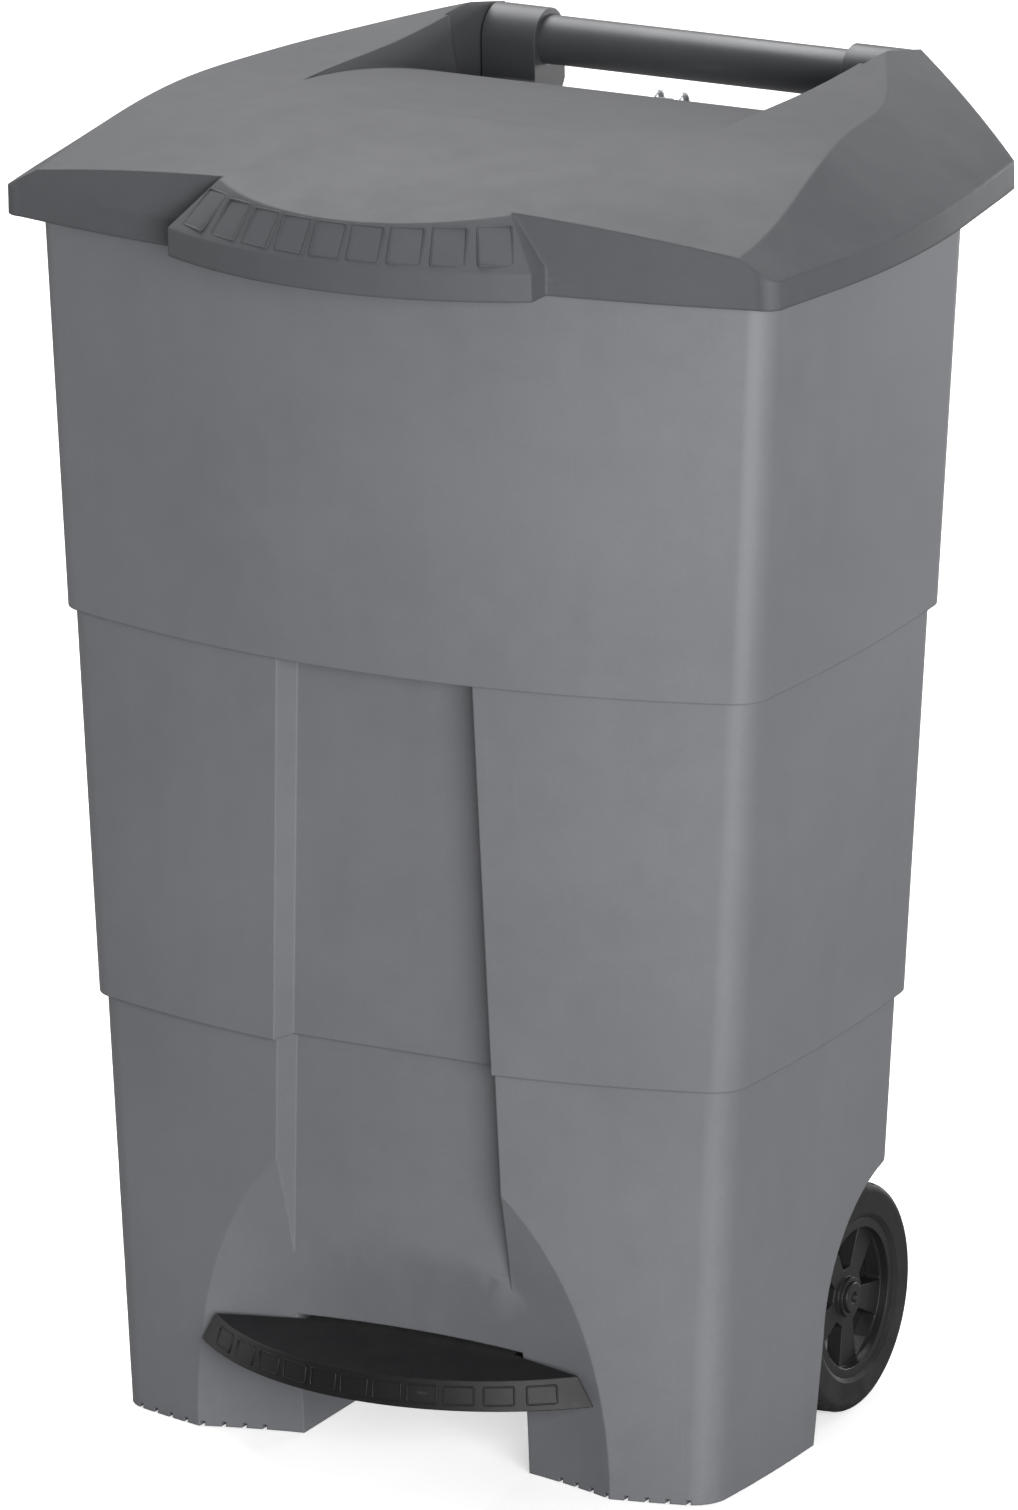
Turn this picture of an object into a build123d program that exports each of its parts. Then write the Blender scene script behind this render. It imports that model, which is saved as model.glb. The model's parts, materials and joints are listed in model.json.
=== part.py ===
from build123d import *
import math
import os

# Pedal bin on two wheels, about 110 litres.
# Sizes in mm. x runs to the right, the front faces -y, z is up from the floor.
# y is counted from the tub's datum plane while a piece is made; place() then moves every
# piece by the same amount, so that the origin is at the middle of the footprint box.

# ---- tub: three stacked sections, each wider than the one below by a small ledge ----
TUB_HALF_WIDTH = 213.5
TUB_SIDE_DRAFT = 0.048
TUB_FRONT_Y = -167.2
TUB_REAR_CORNER_Y = 94.3
TUB_REAR_DRAFT = 0.051
TUB_TOP_Z = 797.0
LOWER_LEDGE_Z = 275.4
UPPER_LEDGE_Z = 529.3
LEDGE_STEP = 4.3
FRONT_RADIUS = 713.0
SIDE_BOW = 6.0
REAR_BOW = 8.0
CORNER_RADIUS = 24.0
WALL = 3.2
RIM_FLANGE = 4.0
RIM_FLANGE_HEIGHT = 5.0

# ---- tub: panel sunk in the front, and the hollow behind the pedal ----
RECESS_TOP_HALF_WIDTH = 70.6
RECESS_SPREAD = 0.035
RECESS_SIDE_SLANT = 6.0
RECESS_DEPTH = 21.0
DISH_HALF_WIDTH = 146.0
DISH_HEIGHT = 209.0
DISH_BASE_Z = 20.0

# ---- tub: underside ----
TUNNEL_HALF_WIDTH = 82.0
TUNNEL_ROOF_Z = 153.0
PEDAL_SLOT_TOP_Z = 83.0
ARCH_RADIUS = 93.0
ARCH_LEG_BACK = 10.0
FOOT_GROOVE_DEPTH = 3.0
FOOT_GROOVE_WIDTH = 3.0
FOOT_RIB_PITCH = 13.0
FOOT_GROOVE_COUNT = 8
FOOT_FIRST_GROOVE_X = 108.0

# ---- wheels ----
WHEEL_RADIUS = 75.0
WHEEL_WIDTH = 40.0
WHEEL_OUTER_X = 214.5
AXLE_Y = 65.0
AXLE_RADIUS = 7.0
WHEEL_WELL_GAP = 7.0
TYRE_INNER_RADIUS = 52.0
RIM_INNER_RADIUS = 46.0
HUB_RADIUS = 13.0
SPOKE_COUNT = 5
SPOKE_THICKNESS = 10.0
TREAD_LUGS = 43
TREAD_DEPTH = 2.0
AXLE_RIB_THICKNESS = 5.0
AXLE_INNER_RIB_X = 92.0
AXLE_OUTER_RIB_X = 150.0

# ---- hinge line, which is also the handle's centre line ----
HINGE_Y = 271.0
HINGE_Z = 822.0
LID_OPEN_DEG = 68.0
HANDLE_RADIUS = 16.0
HANDLE_WALL = 3.0
HANDLE_SEAT = 20.0
BRACKET_INNER_X = 111.0
BRACKET_OUTER_X = 150.0
BRACKET_EYE_RADIUS = 20.5
BRACKET_WALL = 4.0
BRACKET_PAD_Y = 160.0
PAD_LOW_Z = 690.0
PAD_HIGH_Z = 775.0
HINGE_PIN_RADIUS = 6.0

# ---- lid ----
LID_RIM_Z = 786.0
LID_BAND_TOP_Z = 804.0
LID_WALL = 3.0
LID_FRONT_Y = -179.0
LID_FRONT_RADIUS = 1100.0
LID_CORNER_X = 260.0
GRIP_HALF_WIDTH = 128.0
GRIP_END_Y = -190.0
GRIP_FRONT_Y = -222.0
FACET_TOP_Z = 836.0
FACET_LEAN = 10.0
GRIP_TOP_HALF_WIDTH = 100.0
GRIP_TOP_FRONT_Y = -203.0
BOWL_HALF_WIDTH = 149.0
BOWL_WALL_SLANT = 8.0
BOWL_RADIUS = 694.0
BOWL_CREST_Y = -30.0
BOWL_CREST_Z = 850.2
LID_REAR_Y = 206.0
LID_EAR_REAR_Y = 287.0
BOSS_LENGTH = 15.0
PIN_IN_LID = 11.0
BUFFER_RADIUS = 6.0
BUFFER_TOP_Z = TUB_TOP_Z + 4.0
BUFFER_GAP = 0.4

# ---- pedal ----
PEDAL_PIVOT_Y = -75.0
PEDAL_PIVOT_Z = 60.0
PEDAL_AXLE_RADIUS = 5.0
PEDAL_TOP_Z = 81.0
PEDAL_LOW_Z = 62.0
PEDAL_HALF_WIDTH = 142.0
PEDAL_FRONT_Y = -213.0
PEDAL_WALL = 3.0
PEDAL_TONGUE_HALF_WIDTH = 75.0
PEDAL_TONGUE_Y = -114.0
PEDAL_BODY_GAP = 4.0
LEVER_THICKNESS = 10.0
LEVER_DEPTH = 16.0
LEVER_HUB_RADIUS = 10.0
LEVER_HUB_HALF_LENGTH = 28.0
CHEEK_GAP = 1.0
CHEEK_THICKNESS = 5.0

# ---- push rod between the pedal lever and the lid ----
LIFT_ARM = 46.0
ROD_TILT_DEG = 8.7
ROD_RADIUS = 4.0
ROD_EYE_RADIUS = 8.0
ROD_EYE_HALF_WIDTH = 6.0
LINK_PIN_RADIUS = 4.0
LEVER_PIN_RISE = 29.7
SLOT_PLAY = 1.9
LEVER_SLOT_PLAY = 1.2
FORK_PLATE = 4.0
GUIDE_HEIGHTS = (300.0, 640.0)
GUIDE_HEIGHT = 26.0

# ---- screws ----
SCREW_RADIUS = 2.5
SCREW_HEAD_RADIUS = 5.0
SCREW_HEAD_HEIGHT = 3.2
SCREW_LENGTH = 7.0
PEDAL_SCREW_LENGTH = 5.8
SCREW_CLEARANCE = 0.3

# ---- fits ----
RUNNING_FIT = 0.05
SEAT_FIT = 0.05
SIDE_CLEARANCE = 1.0

Y_MIDDLE = (GRIP_FRONT_Y + HINGE_Y + BRACKET_EYE_RADIUS) / 2
FAR = 400.0


def place(shape):
    return Pos(0, -Y_MIDDLE, 0) * shape


def save(name, shape):
    export_step(place(shape), os.path.join("parts", name + ".step"))


def both_sides(shape):
    return {"right": shape, "left": mirror(shape, Plane.YZ)}


def x_cylinder(y, z, radius, x_low, x_high):
    """A cylinder along x between two x planes."""
    disc = Plane(origin=(x_low, y, z), x_dir=(0, 1, 0), z_dir=(1, 0, 0)) * Circle(radius)
    return extrude(disc, x_high - x_low)


def x_prism(points, x_low, x_high):
    """A prism along x from an outline of (y, z) points."""
    side = Plane(origin=(x_low, 0, 0), x_dir=(0, 1, 0), z_dir=(1, 0, 0))
    return extrude(side * make_face(Polyline(*points, close=True)), x_high - x_low)


def block(x_low, x_high, y_low, y_high, z_low, z_high):
    middle = Pos((x_low + x_high) / 2, (y_low + y_high) / 2, (z_low + z_high) / 2)
    return middle * Box(x_high - x_low, y_high - y_low, z_high - z_low)


# ------------------------------------------------------------------ tub

def front_sag(x, radius=FRONT_RADIUS):
    """How far the bowed front falls back at a distance x from the middle."""
    return radius - math.sqrt(radius ** 2 - x ** 2)


def tub_half_width(z, step):
    return TUB_HALF_WIDTH + TUB_SIDE_DRAFT * z + LEDGE_STEP * step


def tub_rear_y(z, step):
    """The rear wall's outer face in the middle of the tub."""
    return TUB_REAR_CORNER_Y + TUB_REAR_DRAFT * z + LEDGE_STEP * step + REAR_BOW


def tub_outline(z, step, inset):
    """The tub's bowed rectangle with round corners at a height, drawn in by inset."""
    half = tub_half_width(z, step) - inset
    front = TUB_FRONT_Y - LEDGE_STEP * step + inset
    rear = tub_rear_y(z, step) - inset
    front_corner = front + front_sag(half)
    rear_corner = rear - REAR_BOW
    middle = (front_corner + rear_corner) / 2
    edges = [
        ThreePointArc((-half, front_corner), (0, front), (half, front_corner)),
        ThreePointArc((half, front_corner), (half + SIDE_BOW, middle), (half, rear_corner)),
        ThreePointArc((half, rear_corner), (0, rear), (-half, rear_corner)),
        ThreePointArc((-half, rear_corner), (-half - SIDE_BOW, middle), (-half, front_corner)),
    ]
    outline = make_face(edges)
    return Pos(0, 0, z) * fillet(outline.vertices(), CORNER_RADIUS - inset)


def tub_stack(inset, lift, low_z, high_z):
    """The three sections as one solid block; lift raises the ledges of the inner space."""
    heights = [low_z, LOWER_LEDGE_Z + lift, UPPER_LEDGE_Z + lift, high_z]
    stack = None
    for step in range(3):
        ends = [tub_outline(z, step, inset) for z in heights[step:step + 2]]
        section = loft(ends, ruled=True)
        stack = section if stack is None else stack + section
    return stack


def dish_half_width(z):
    """Half width of the arch that the hollow behind the pedal draws on the front."""
    share = (z - DISH_BASE_Z) / DISH_HEIGHT
    if share < 0:
        return DISH_HALF_WIDTH
    return DISH_HALF_WIDTH * math.sqrt(max(0.0, 1 - share ** 2))


def dish_curve(z):
    """Apex y and width factor of the hollow's back at a height: y = apex - x * x / factor."""
    factor = min(1050.0, 767.0 + 1.9 * max(0.0, z))
    edge = dish_half_width(z)
    apex = TUB_FRONT_Y + front_sag(edge) + edge ** 2 / factor
    over_top = max(0.0, z - DISH_BASE_Z - DISH_HEIGHT)
    return apex - 0.35 * over_top, factor


def dish_cutter(setback):
    """Everything in front of the hollow's back, moved rearward by setback."""
    reach = 250.0
    faces = []
    for z in (-10.0, 50.0, 100.0, 150.0, 190.0, 228.0, 262.0):
        apex, factor = dish_curve(z)
        apex += setback
        end = apex - reach ** 2 / factor
        edges = [
            ThreePointArc((-reach, end), (0, apex), (reach, end)),
            Polyline((reach, end), (reach, -FAR), (-reach, -FAR), (-reach, end)),
        ]
        faces.append(Pos(0, 0, z) * make_face(edges))
    return loft(faces)


def recess_cutter(grow):
    """The sunk front panel, one depth below each ledge, widened by grow all round."""
    cutter = None
    spans = [(-10.0, LOWER_LEDGE_Z, 0), (LOWER_LEDGE_Z, UPPER_LEDGE_Z, 1)]
    for low, high, step in spans:
        floor = TUB_FRONT_Y - LEDGE_STEP * step + RECESS_DEPTH
        faces = []
        for z in (low, high + grow):
            lip = RECESS_TOP_HALF_WIDTH + RECESS_SPREAD * (UPPER_LEDGE_Z - z) + grow
            lip_y = floor - RECESS_DEPTH
            root = lip - RECESS_SIDE_SLANT
            mouth = lip + 3 * RECESS_SIDE_SLANT
            mouth_y = lip_y - 3 * RECESS_DEPTH
            outline = Polyline((-root, floor + grow), (-mouth, mouth_y), (mouth, mouth_y),
                               (root, floor + grow), close=True)
            faces.append(Pos(0, 0, z) * make_face(outline))
        piece = loft(faces, ruled=True)
        cutter = piece if cutter is None else cutter + piece
    return cutter


def rear_cutter(grow):
    """The space behind the two front legs and under the tub's rear half."""
    arch_y = AXLE_Y + 29.0
    arch_z = 163.0 - ARCH_RADIUS
    width = FAR
    leg_back = arch_y - ARCH_RADIUS
    space = x_cylinder(arch_y, arch_z, ARCH_RADIUS + grow, -width, width)
    space += block(-width, width, arch_y, FAR, -FAR, arch_z + ARCH_RADIUS + grow)
    wedge = [(leg_back - grow, arch_z), (leg_back - ARCH_LEG_BACK - grow, -10),
             (FAR, -10), (FAR, arch_z)]
    return space + x_prism(wedge, -width, width)


def well_cutter(grow):
    """Room for the front of one tyre behind the side wall, on the right."""
    inner = WHEEL_OUTER_X - WHEEL_WIDTH - WHEEL_WELL_GAP + 2 - grow
    outer = WHEEL_OUTER_X + 3.0 if grow == 0 else FAR
    return x_cylinder(AXLE_Y, WHEEL_RADIUS, WHEEL_RADIUS + WHEEL_WELL_GAP + grow, inner, outer)


def tunnel_cutter():
    """The way under the floor for the pedal lever, closed at the front above the slot."""
    width = TUNNEL_HALF_WIDTH
    space = block(-width, width, -FAR, FAR, -10, TUNNEL_ROOF_Z)
    above_slot = block(-FAR, FAR, -FAR, FAR, PEDAL_SLOT_TOP_Z, FAR)
    space -= dish_cutter(WALL) & above_slot
    return space - (recess_cutter(WALL) & above_slot)


def rear_pads():
    """Flat pads on the rear wall that the handle brackets and rod guides bolt to."""
    pads = []
    wall = tub_rear_y(PAD_LOW_Z, 2) - REAR_BOW - WALL
    for side in (-1, 1):
        low_x, high_x = sorted((side * BRACKET_INNER_X, side * BRACKET_OUTER_X))
        pads.append(block(low_x, high_x, wall - 2, BRACKET_PAD_Y, PAD_LOW_Z, PAD_HIGH_Z))
    for z in GUIDE_HEIGHTS:
        wall = tub_rear_y(z, guide_step(z)) - WALL
        pads.append(block(-30, 30, wall, guide_pad_y(z), z - 16, z + 16))
    return pads


def axle_ribs():
    """Moulded ribs that hang under the tub's rear half and hold the stub axles."""
    ribs = []
    for side in (-1, 1):
        for x in (AXLE_INNER_RIB_X, AXLE_OUTER_RIB_X):
            low_x, high_x = sorted((side * x, side * (x + AXLE_RIB_THICKNESS)))
            rib = block(low_x, high_x, AXLE_Y - 17, AXLE_Y + 17, WHEEL_RADIUS, 165)
            rib += x_cylinder(AXLE_Y, WHEEL_RADIUS, 17, low_x, high_x)
            ribs.append(rib)
        low_x, high_x = sorted((side * (AXLE_INNER_RIB_X + 2), side * (AXLE_OUTER_RIB_X + 2)))
        ribs.append(block(low_x, high_x, AXLE_Y - 2.5, AXLE_Y + 2.5, WHEEL_RADIUS + 22, 165))
    return ribs


def pedal_cheeks():
    """Two plates under the tunnel roof that hold the pedal's axle."""
    cheeks = []
    inner = LEVER_HUB_HALF_LENGTH + CHEEK_GAP
    for side in (-1, 1):
        low_x, high_x = sorted((side * inner, side * (inner + CHEEK_THICKNESS)))
        y = PEDAL_PIVOT_Y
        cheek = block(low_x, high_x, y - 14, y + 14, PEDAL_PIVOT_Z, TUNNEL_ROOF_Z + 1)
        cheek += x_cylinder(y, PEDAL_PIVOT_Z, 14, low_x, high_x)
        cheeks.append(cheek)
    return cheeks


def make_tub():
    shell = tub_stack(0, 0, 0, TUB_TOP_Z)
    flange = tub_outline(TUB_TOP_Z - RIM_FLANGE_HEIGHT, 2, -RIM_FLANGE)
    shell += extrude(flange, RIM_FLANGE_HEIGHT)
    for pad in rear_pads():
        shell += pad
    shell -= recess_cutter(0)
    shell -= dish_cutter(0)
    shell -= rear_cutter(0)
    shell -= tunnel_cutter()
    inside = tub_stack(WALL, WALL, FOOT_GROOVE_DEPTH + WALL, TUB_TOP_Z + 20)
    inside -= recess_cutter(WALL)
    inside -= dish_cutter(WALL)
    inside -= rear_cutter(WALL)
    lane = TUNNEL_HALF_WIDTH + WALL
    inside -= block(-lane, lane, -FAR, FAR, -10, TUNNEL_ROOF_Z + WALL)
    for side, well in both_sides(well_cutter(WALL)).items():
        inside -= well
    shell -= inside
    for side, well in both_sides(well_cutter(0)).items():
        shell -= well
    for rib in axle_ribs() + pedal_cheeks():
        shell += rib
    for side in (-1, 1):
        low_x, high_x = sorted((side * 60, side * (WHEEL_OUTER_X - WHEEL_WIDTH)))
        shell -= x_cylinder(AXLE_Y, WHEEL_RADIUS, AXLE_RADIUS + SEAT_FIT, low_x, high_x)
        for index in range(FOOT_GROOVE_COUNT):
            x = side * (FOOT_FIRST_GROOVE_X + index * FOOT_RIB_PITCH)
            groove = block(x - FOOT_GROOVE_WIDTH / 2, x + FOOT_GROOVE_WIDTH / 2, -FAR, FAR, -5,
                           FOOT_GROOVE_DEPTH)
            shell -= groove
    shell -= x_cylinder(PEDAL_PIVOT_Y, PEDAL_PIVOT_Z, PEDAL_AXLE_RADIUS + RUNNING_FIT, -60, 60)
    return shell


# ------------------------------------------------------------------ lid

def lid_outline(z, lean, grip_half, grip_end_y, grip_front_y, inset):
    """The lid seen from above. Only its front and rear count: lid_sides() bounds the sides."""
    front = LID_FRONT_Y + lean + inset
    corner_x = LID_CORNER_X - 1.2 * lean - inset
    corner_y = front + front_sag(corner_x, LID_FRONT_RADIUS)
    turn_x = corner_x + 14
    turn_y = corner_y + 15
    grip_half -= inset
    step_y = front + front_sag(grip_half, LID_FRONT_RADIUS)
    grip_end_y += inset
    grip_front_y += inset
    mid_x = (grip_half + corner_x) / 2
    mid_y = front + front_sag(mid_x, LID_FRONT_RADIUS)
    wide = 320.0
    rear = LID_EAR_REAR_Y - inset
    diagonal_y = rear - (wide - 150) * 0.875
    edges = []
    for side in (-1, 1):
        edges.append(ThreePointArc((side * grip_half, step_y), (side * mid_x, mid_y),
                                   (side * corner_x, corner_y)))
        edges.append(ThreePointArc((side * corner_x, corner_y),
                                   (side * (corner_x + 11), corner_y + 4.5),
                                   (side * turn_x, turn_y)))
        edges.append(Polyline((side * turn_x, turn_y), (side * wide, 60),
                              (side * wide, diagonal_y), (side * 150, rear)))
        edges.append(Line((side * grip_half, step_y), (side * grip_half, grip_end_y)))
    edges.append(Line((-150, rear), (150, rear)))
    edges.append(ThreePointArc((-grip_half, grip_end_y), (0, grip_front_y),
                               (grip_half, grip_end_y)))
    return Pos(0, 0, z) * make_face(edges)


def lid_front(inset):
    """The vertical band, the leaning front facet above it, and room above that."""
    low = LID_RIM_Z - (10 if inset else 0)
    band_top = LID_BAND_TOP_Z
    lower = lid_outline(band_top, 0, GRIP_HALF_WIDTH, GRIP_END_Y, GRIP_FRONT_Y, inset)
    top_end_y = LID_FRONT_Y + FACET_LEAN + front_sag(GRIP_TOP_HALF_WIDTH, LID_FRONT_RADIUS) - 2
    upper = lid_outline(FACET_TOP_Z, FACET_LEAN, GRIP_TOP_HALF_WIDTH, top_end_y,
                        GRIP_TOP_FRONT_Y, inset)
    body = extrude(lower, low - band_top, dir=(0, 0, 1))
    body += loft([lower, upper], ruled=True)
    return body + extrude(upper, 40, dir=(0, 0, 1))


def lid_sides(inset):
    """The lid's sides: upright at the rim, then sloping in towards the two ridges.

    Each row is y, half width at the rim, and the ridge's half width and height.
    """
    rows = [(-250, 262, 240, 812), (-120, 276.5, 249.7, 820.7), (-60, 285.5, 241.9, 833.5),
            (0, 289, 232, 842), (60, 286.5, 218, 845.5), (120, 279, 203, 847.1),
            (180, 270.5, 184, 846), (240, 257, 165, 843.5), (300, 234, 146, 839)]
    top = 885.0
    rims, peaks = [], []
    for y, rim, ridge, ridge_z in rows:
        lean = (rim - ridge) / (ridge_z - LID_BAND_TOP_Z)
        rims.append((rim - inset, y))
        peaks.append((ridge - (top - ridge_z) * lean - inset * math.hypot(1, lean), y))
    shoulder_z = LID_BAND_TOP_Z - 0.5 * inset
    band = extrude(side_plan(rims, 700), shoulder_z - 700)
    return band + loft([side_plan(rims, shoulder_z), side_plan(peaks, top)], ruled=True)


def side_plan(points, z):
    """A face between a curve through the points and its mirror image."""
    right = Spline(*points)
    left = Spline(*[(-x, y) for x, y in points])
    front = Line((-points[0][0], points[0][1]), points[0])
    rear = Line((-points[-1][0], points[-1][1]), points[-1])
    return Pos(0, 0, z) * make_face([right, rear, left, front])


def lid_crown(drop):
    """Everything under the lid's top surface: arcs across the lid at stations along y.

    Each row is y, the height in the middle, and how fast the arc falls with x squared.
    """
    rows = [(-250, 815.5, 3.2e-4), (-180, 834.5, 3.4e-4), (-120, 844.7, 3.85e-4),
            (-30, 851.5, 2.2e-4), (60, 850.5, 1.0e-4), (180, 848.5, 0.5e-4), (300, 837, 0.8e-4)]
    reach = 310.0
    faces = []
    for y, middle, fall in rows:
        middle -= drop
        edge = middle - fall * reach ** 2
        edges = [
            ThreePointArc((-reach, edge), (0, middle), (reach, edge)),
            Polyline((reach, edge), (reach, 700), (-reach, 700), (-reach, edge)),
        ]
        across = Plane(origin=(0, y, 0), x_dir=(1, 0, 0), z_dir=(0, -1, 0))
        faces.append(across * make_face(edges))
    return loft(faces)


def bowl_z(y):
    """Height of the sunk middle of the lid, which falls away towards the rear."""
    return BOWL_CREST_Z - front_sag(y - BOWL_CREST_Y, BOWL_RADIUS)


def bowl_cutter(grow):
    """The space above the sunk middle of the lid, between the two shoulders."""
    start = BOWL_CREST_Y
    end = LID_REAR_Y + 40
    middle = (start + end) / 2
    side = Plane.YZ
    edges = [
        ThreePointArc((start, bowl_z(start) - grow), (middle, bowl_z(middle) - grow),
                      (end, bowl_z(end) - grow)),
        Polyline((end, bowl_z(end) - grow), (end, 900), (start, 900), (start, bowl_z(start) - grow)),
    ]
    profile = make_face(edges)
    space = extrude(side * profile, FAR, both=True)
    top = BOWL_HALF_WIDTH + grow
    root = top - BOWL_WALL_SLANT
    walls = Polyline((-root, 800), (-top - BOWL_WALL_SLANT, 900), (top + BOWL_WALL_SLANT, 900),
                     (root, 800), close=True)
    return space & extrude(Plane.XZ * make_face(walls), FAR, both=True)


def rear_notch(grow):
    """Room behind the lid's rear wall for the handle and its brackets."""
    half = BRACKET_OUTER_X + SIDE_CLEARANCE + 0.5 + grow
    return block(-half, half, LID_REAR_Y - grow, FAR, 700, 900)


def lid_boss_places():
    """Where the rubber buffers sit over the tub's rim: x, y."""
    half = tub_half_width(TUB_TOP_Z, 2) + SIDE_BOW + 0.5
    front_x = 165.0
    front_y = TUB_FRONT_Y - 2 * LEDGE_STEP + front_sag(front_x) + 1.5
    return [(-front_x, front_y), (front_x, front_y), (-half, 20), (half, 20)]


def make_lid():
    outer = lid_front(0) & lid_sides(0) & lid_crown(0)
    outer -= bowl_cutter(0)
    outer -= rear_notch(0)
    inner = lid_front(LID_WALL) & lid_sides(LID_WALL) & lid_crown(LID_WALL)
    inner -= bowl_cutter(LID_WALL)
    inner -= rear_notch(LID_WALL)
    bosses = None
    ear_inner = BRACKET_OUTER_X + SIDE_CLEARANCE + 0.5
    for side in (-1, 1):
        low_x, high_x = sorted((side * ear_inner, side * (ear_inner + BOSS_LENGTH)))
        boss = x_cylinder(HINGE_Y, HINGE_Z, HINGE_PIN_RADIUS + 6, low_x, high_x)
        bosses = boss if bosses is None else bosses + boss
    outer += bosses
    for x, y in lid_boss_places():
        bosses += Pos(x, y, BUFFER_TOP_Z) * extrude(Circle(BUFFER_RADIUS + 2), 30)
    inner -= bosses
    lid = outer - inner
    for side in (-1, 1):
        low_x, high_x = sorted((side * (ear_inner - 5), side * (ear_inner + PIN_IN_LID + 0.5)))
        lid -= x_cylinder(HINGE_Y, HINGE_Z, HINGE_PIN_RADIUS + RUNNING_FIT, low_x, high_x)
    return lid


def make_buffers():
    height = BUFFER_TOP_Z - TUB_TOP_Z - BUFFER_GAP
    discs = []
    for x, y in lid_boss_places():
        disc = extrude(Circle(BUFFER_RADIUS), height)
        disc = chamfer(disc.edges().group_by(Axis.Z)[0], 0.6)
        discs.append(Pos(x, y, TUB_TOP_Z + BUFFER_GAP) * disc)
    return Compound(children=discs)


# ------------------------------------------------------------------ handle and hinge

def make_bracket():
    """Right-hand bracket: foot on the tub's pad, arm and round eye for the handle."""
    y_front = HINGE_Y - BRACKET_EYE_RADIUS
    y_back = HINGE_Y + BRACKET_EYE_RADIUS
    arm = [(BRACKET_PAD_Y, PAD_HIGH_Z), (HINGE_Y - 48, PAD_HIGH_Z), (y_front, PAD_HIGH_Z + 24),
           (y_front, HINGE_Z), (y_back, HINGE_Z), (y_back, HINGE_Z - 30),
           (HINGE_Y - 8, HINGE_Z - 74), (BRACKET_PAD_Y + 7, PAD_LOW_Z),
           (BRACKET_PAD_Y, PAD_LOW_Z)]
    wall = BRACKET_WALL
    pocket = [(BRACKET_PAD_Y + 8, PAD_HIGH_Z - wall), (HINGE_Y - 50, PAD_HIGH_Z - wall),
              (y_front + wall, PAD_HIGH_Z + 18), (y_front + wall, HINGE_Z - 24),
              (y_back - wall, HINGE_Z - 24), (y_back - wall, HINGE_Z - 70),
              (HINGE_Y - 8, HINGE_Z - 130), (BRACKET_PAD_Y + 8, PAD_LOW_Z - 40)]
    low, high = BRACKET_INNER_X, BRACKET_OUTER_X
    body = x_prism(arm, low, high)
    body += x_cylinder(HINGE_Y, HINGE_Z, BRACKET_EYE_RADIUS, low, high)
    body -= x_prism(pocket, low + wall, high - wall)
    body -= x_cylinder(HINGE_Y, HINGE_Z, HANDLE_RADIUS + SEAT_FIT, low - 1, low + HANDLE_SEAT)
    body -= x_cylinder(HINGE_Y, HINGE_Z, HINGE_PIN_RADIUS, low + HANDLE_SEAT, high + 1)
    for x, z in bracket_screw_places():
        body -= y_cylinder(x, z, SCREW_RADIUS, BRACKET_PAD_Y - 1, BRACKET_PAD_Y + 9)
    return body


def y_cylinder(x, z, radius, y_low, y_high):
    """A cylinder along y between two y planes."""
    disc = Plane(origin=(x, y_low, z), x_dir=(1, 0, 0), z_dir=(0, 1, 0)) * Circle(radius)
    return extrude(disc, y_high - y_low)


def bracket_screw_places():
    x_middle = (BRACKET_INNER_X + BRACKET_OUTER_X) / 2
    return [(x_middle, PAD_LOW_Z + 16), (x_middle, PAD_HIGH_Z - 24)]


def y_screw(x, z, seat_y, length=SCREW_LENGTH):
    """A pan-head screw along y: head behind seat_y, shank running forward from it."""
    shank = y_cylinder(x, z, SCREW_RADIUS, seat_y - length, seat_y)
    head = y_cylinder(x, z, SCREW_HEAD_RADIUS, seat_y, seat_y + SCREW_HEAD_HEIGHT)
    head = fillet(head.edges().group_by(Axis.Y)[-1], 1.2)
    socket = Pos(x, seat_y + SCREW_HEAD_HEIGHT - 1.5, z) * Rot(90, 0, 0) * \
        extrude(RegularPolygon(2.3, 6), -4)
    return shank + head - socket


def make_handle():
    end = BRACKET_INNER_X + HANDLE_SEAT - 0.5
    tube = x_cylinder(HINGE_Y, HINGE_Z, HANDLE_RADIUS, -end, end)
    return tube - x_cylinder(HINGE_Y, HINGE_Z, HANDLE_RADIUS - HANDLE_WALL, -end - 1, end + 1)


def make_hinge_pin():
    """Right-hand hinge pin: seated in the bracket, turning in the lid's blind boss."""
    start = BRACKET_INNER_X + HANDLE_SEAT + 1
    end = BRACKET_OUTER_X + SIDE_CLEARANCE + 0.5 + PIN_IN_LID
    pin = x_cylinder(HINGE_Y, HINGE_Z, HINGE_PIN_RADIUS, start, end)
    return chamfer(pin.edges(), 0.8)


# ------------------------------------------------------------------ wheels

def spoke_opening():
    """One of the openings between two spokes, pointing along +y from the axle."""
    low, high = HUB_RADIUS + 6, RIM_INNER_RADIUS - 3
    half_step = math.pi / SPOKE_COUNT
    low_half = low * math.sin(half_step * 0.42)
    high_half = high * math.sin(half_step * 0.66)
    outline = make_face(Polyline((low, -low_half), (high, -high_half), (high + 1.5, 0),
                                 (high, high_half), (low, low_half), close=True))
    return fillet(outline.vertices(), 2.2)


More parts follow.
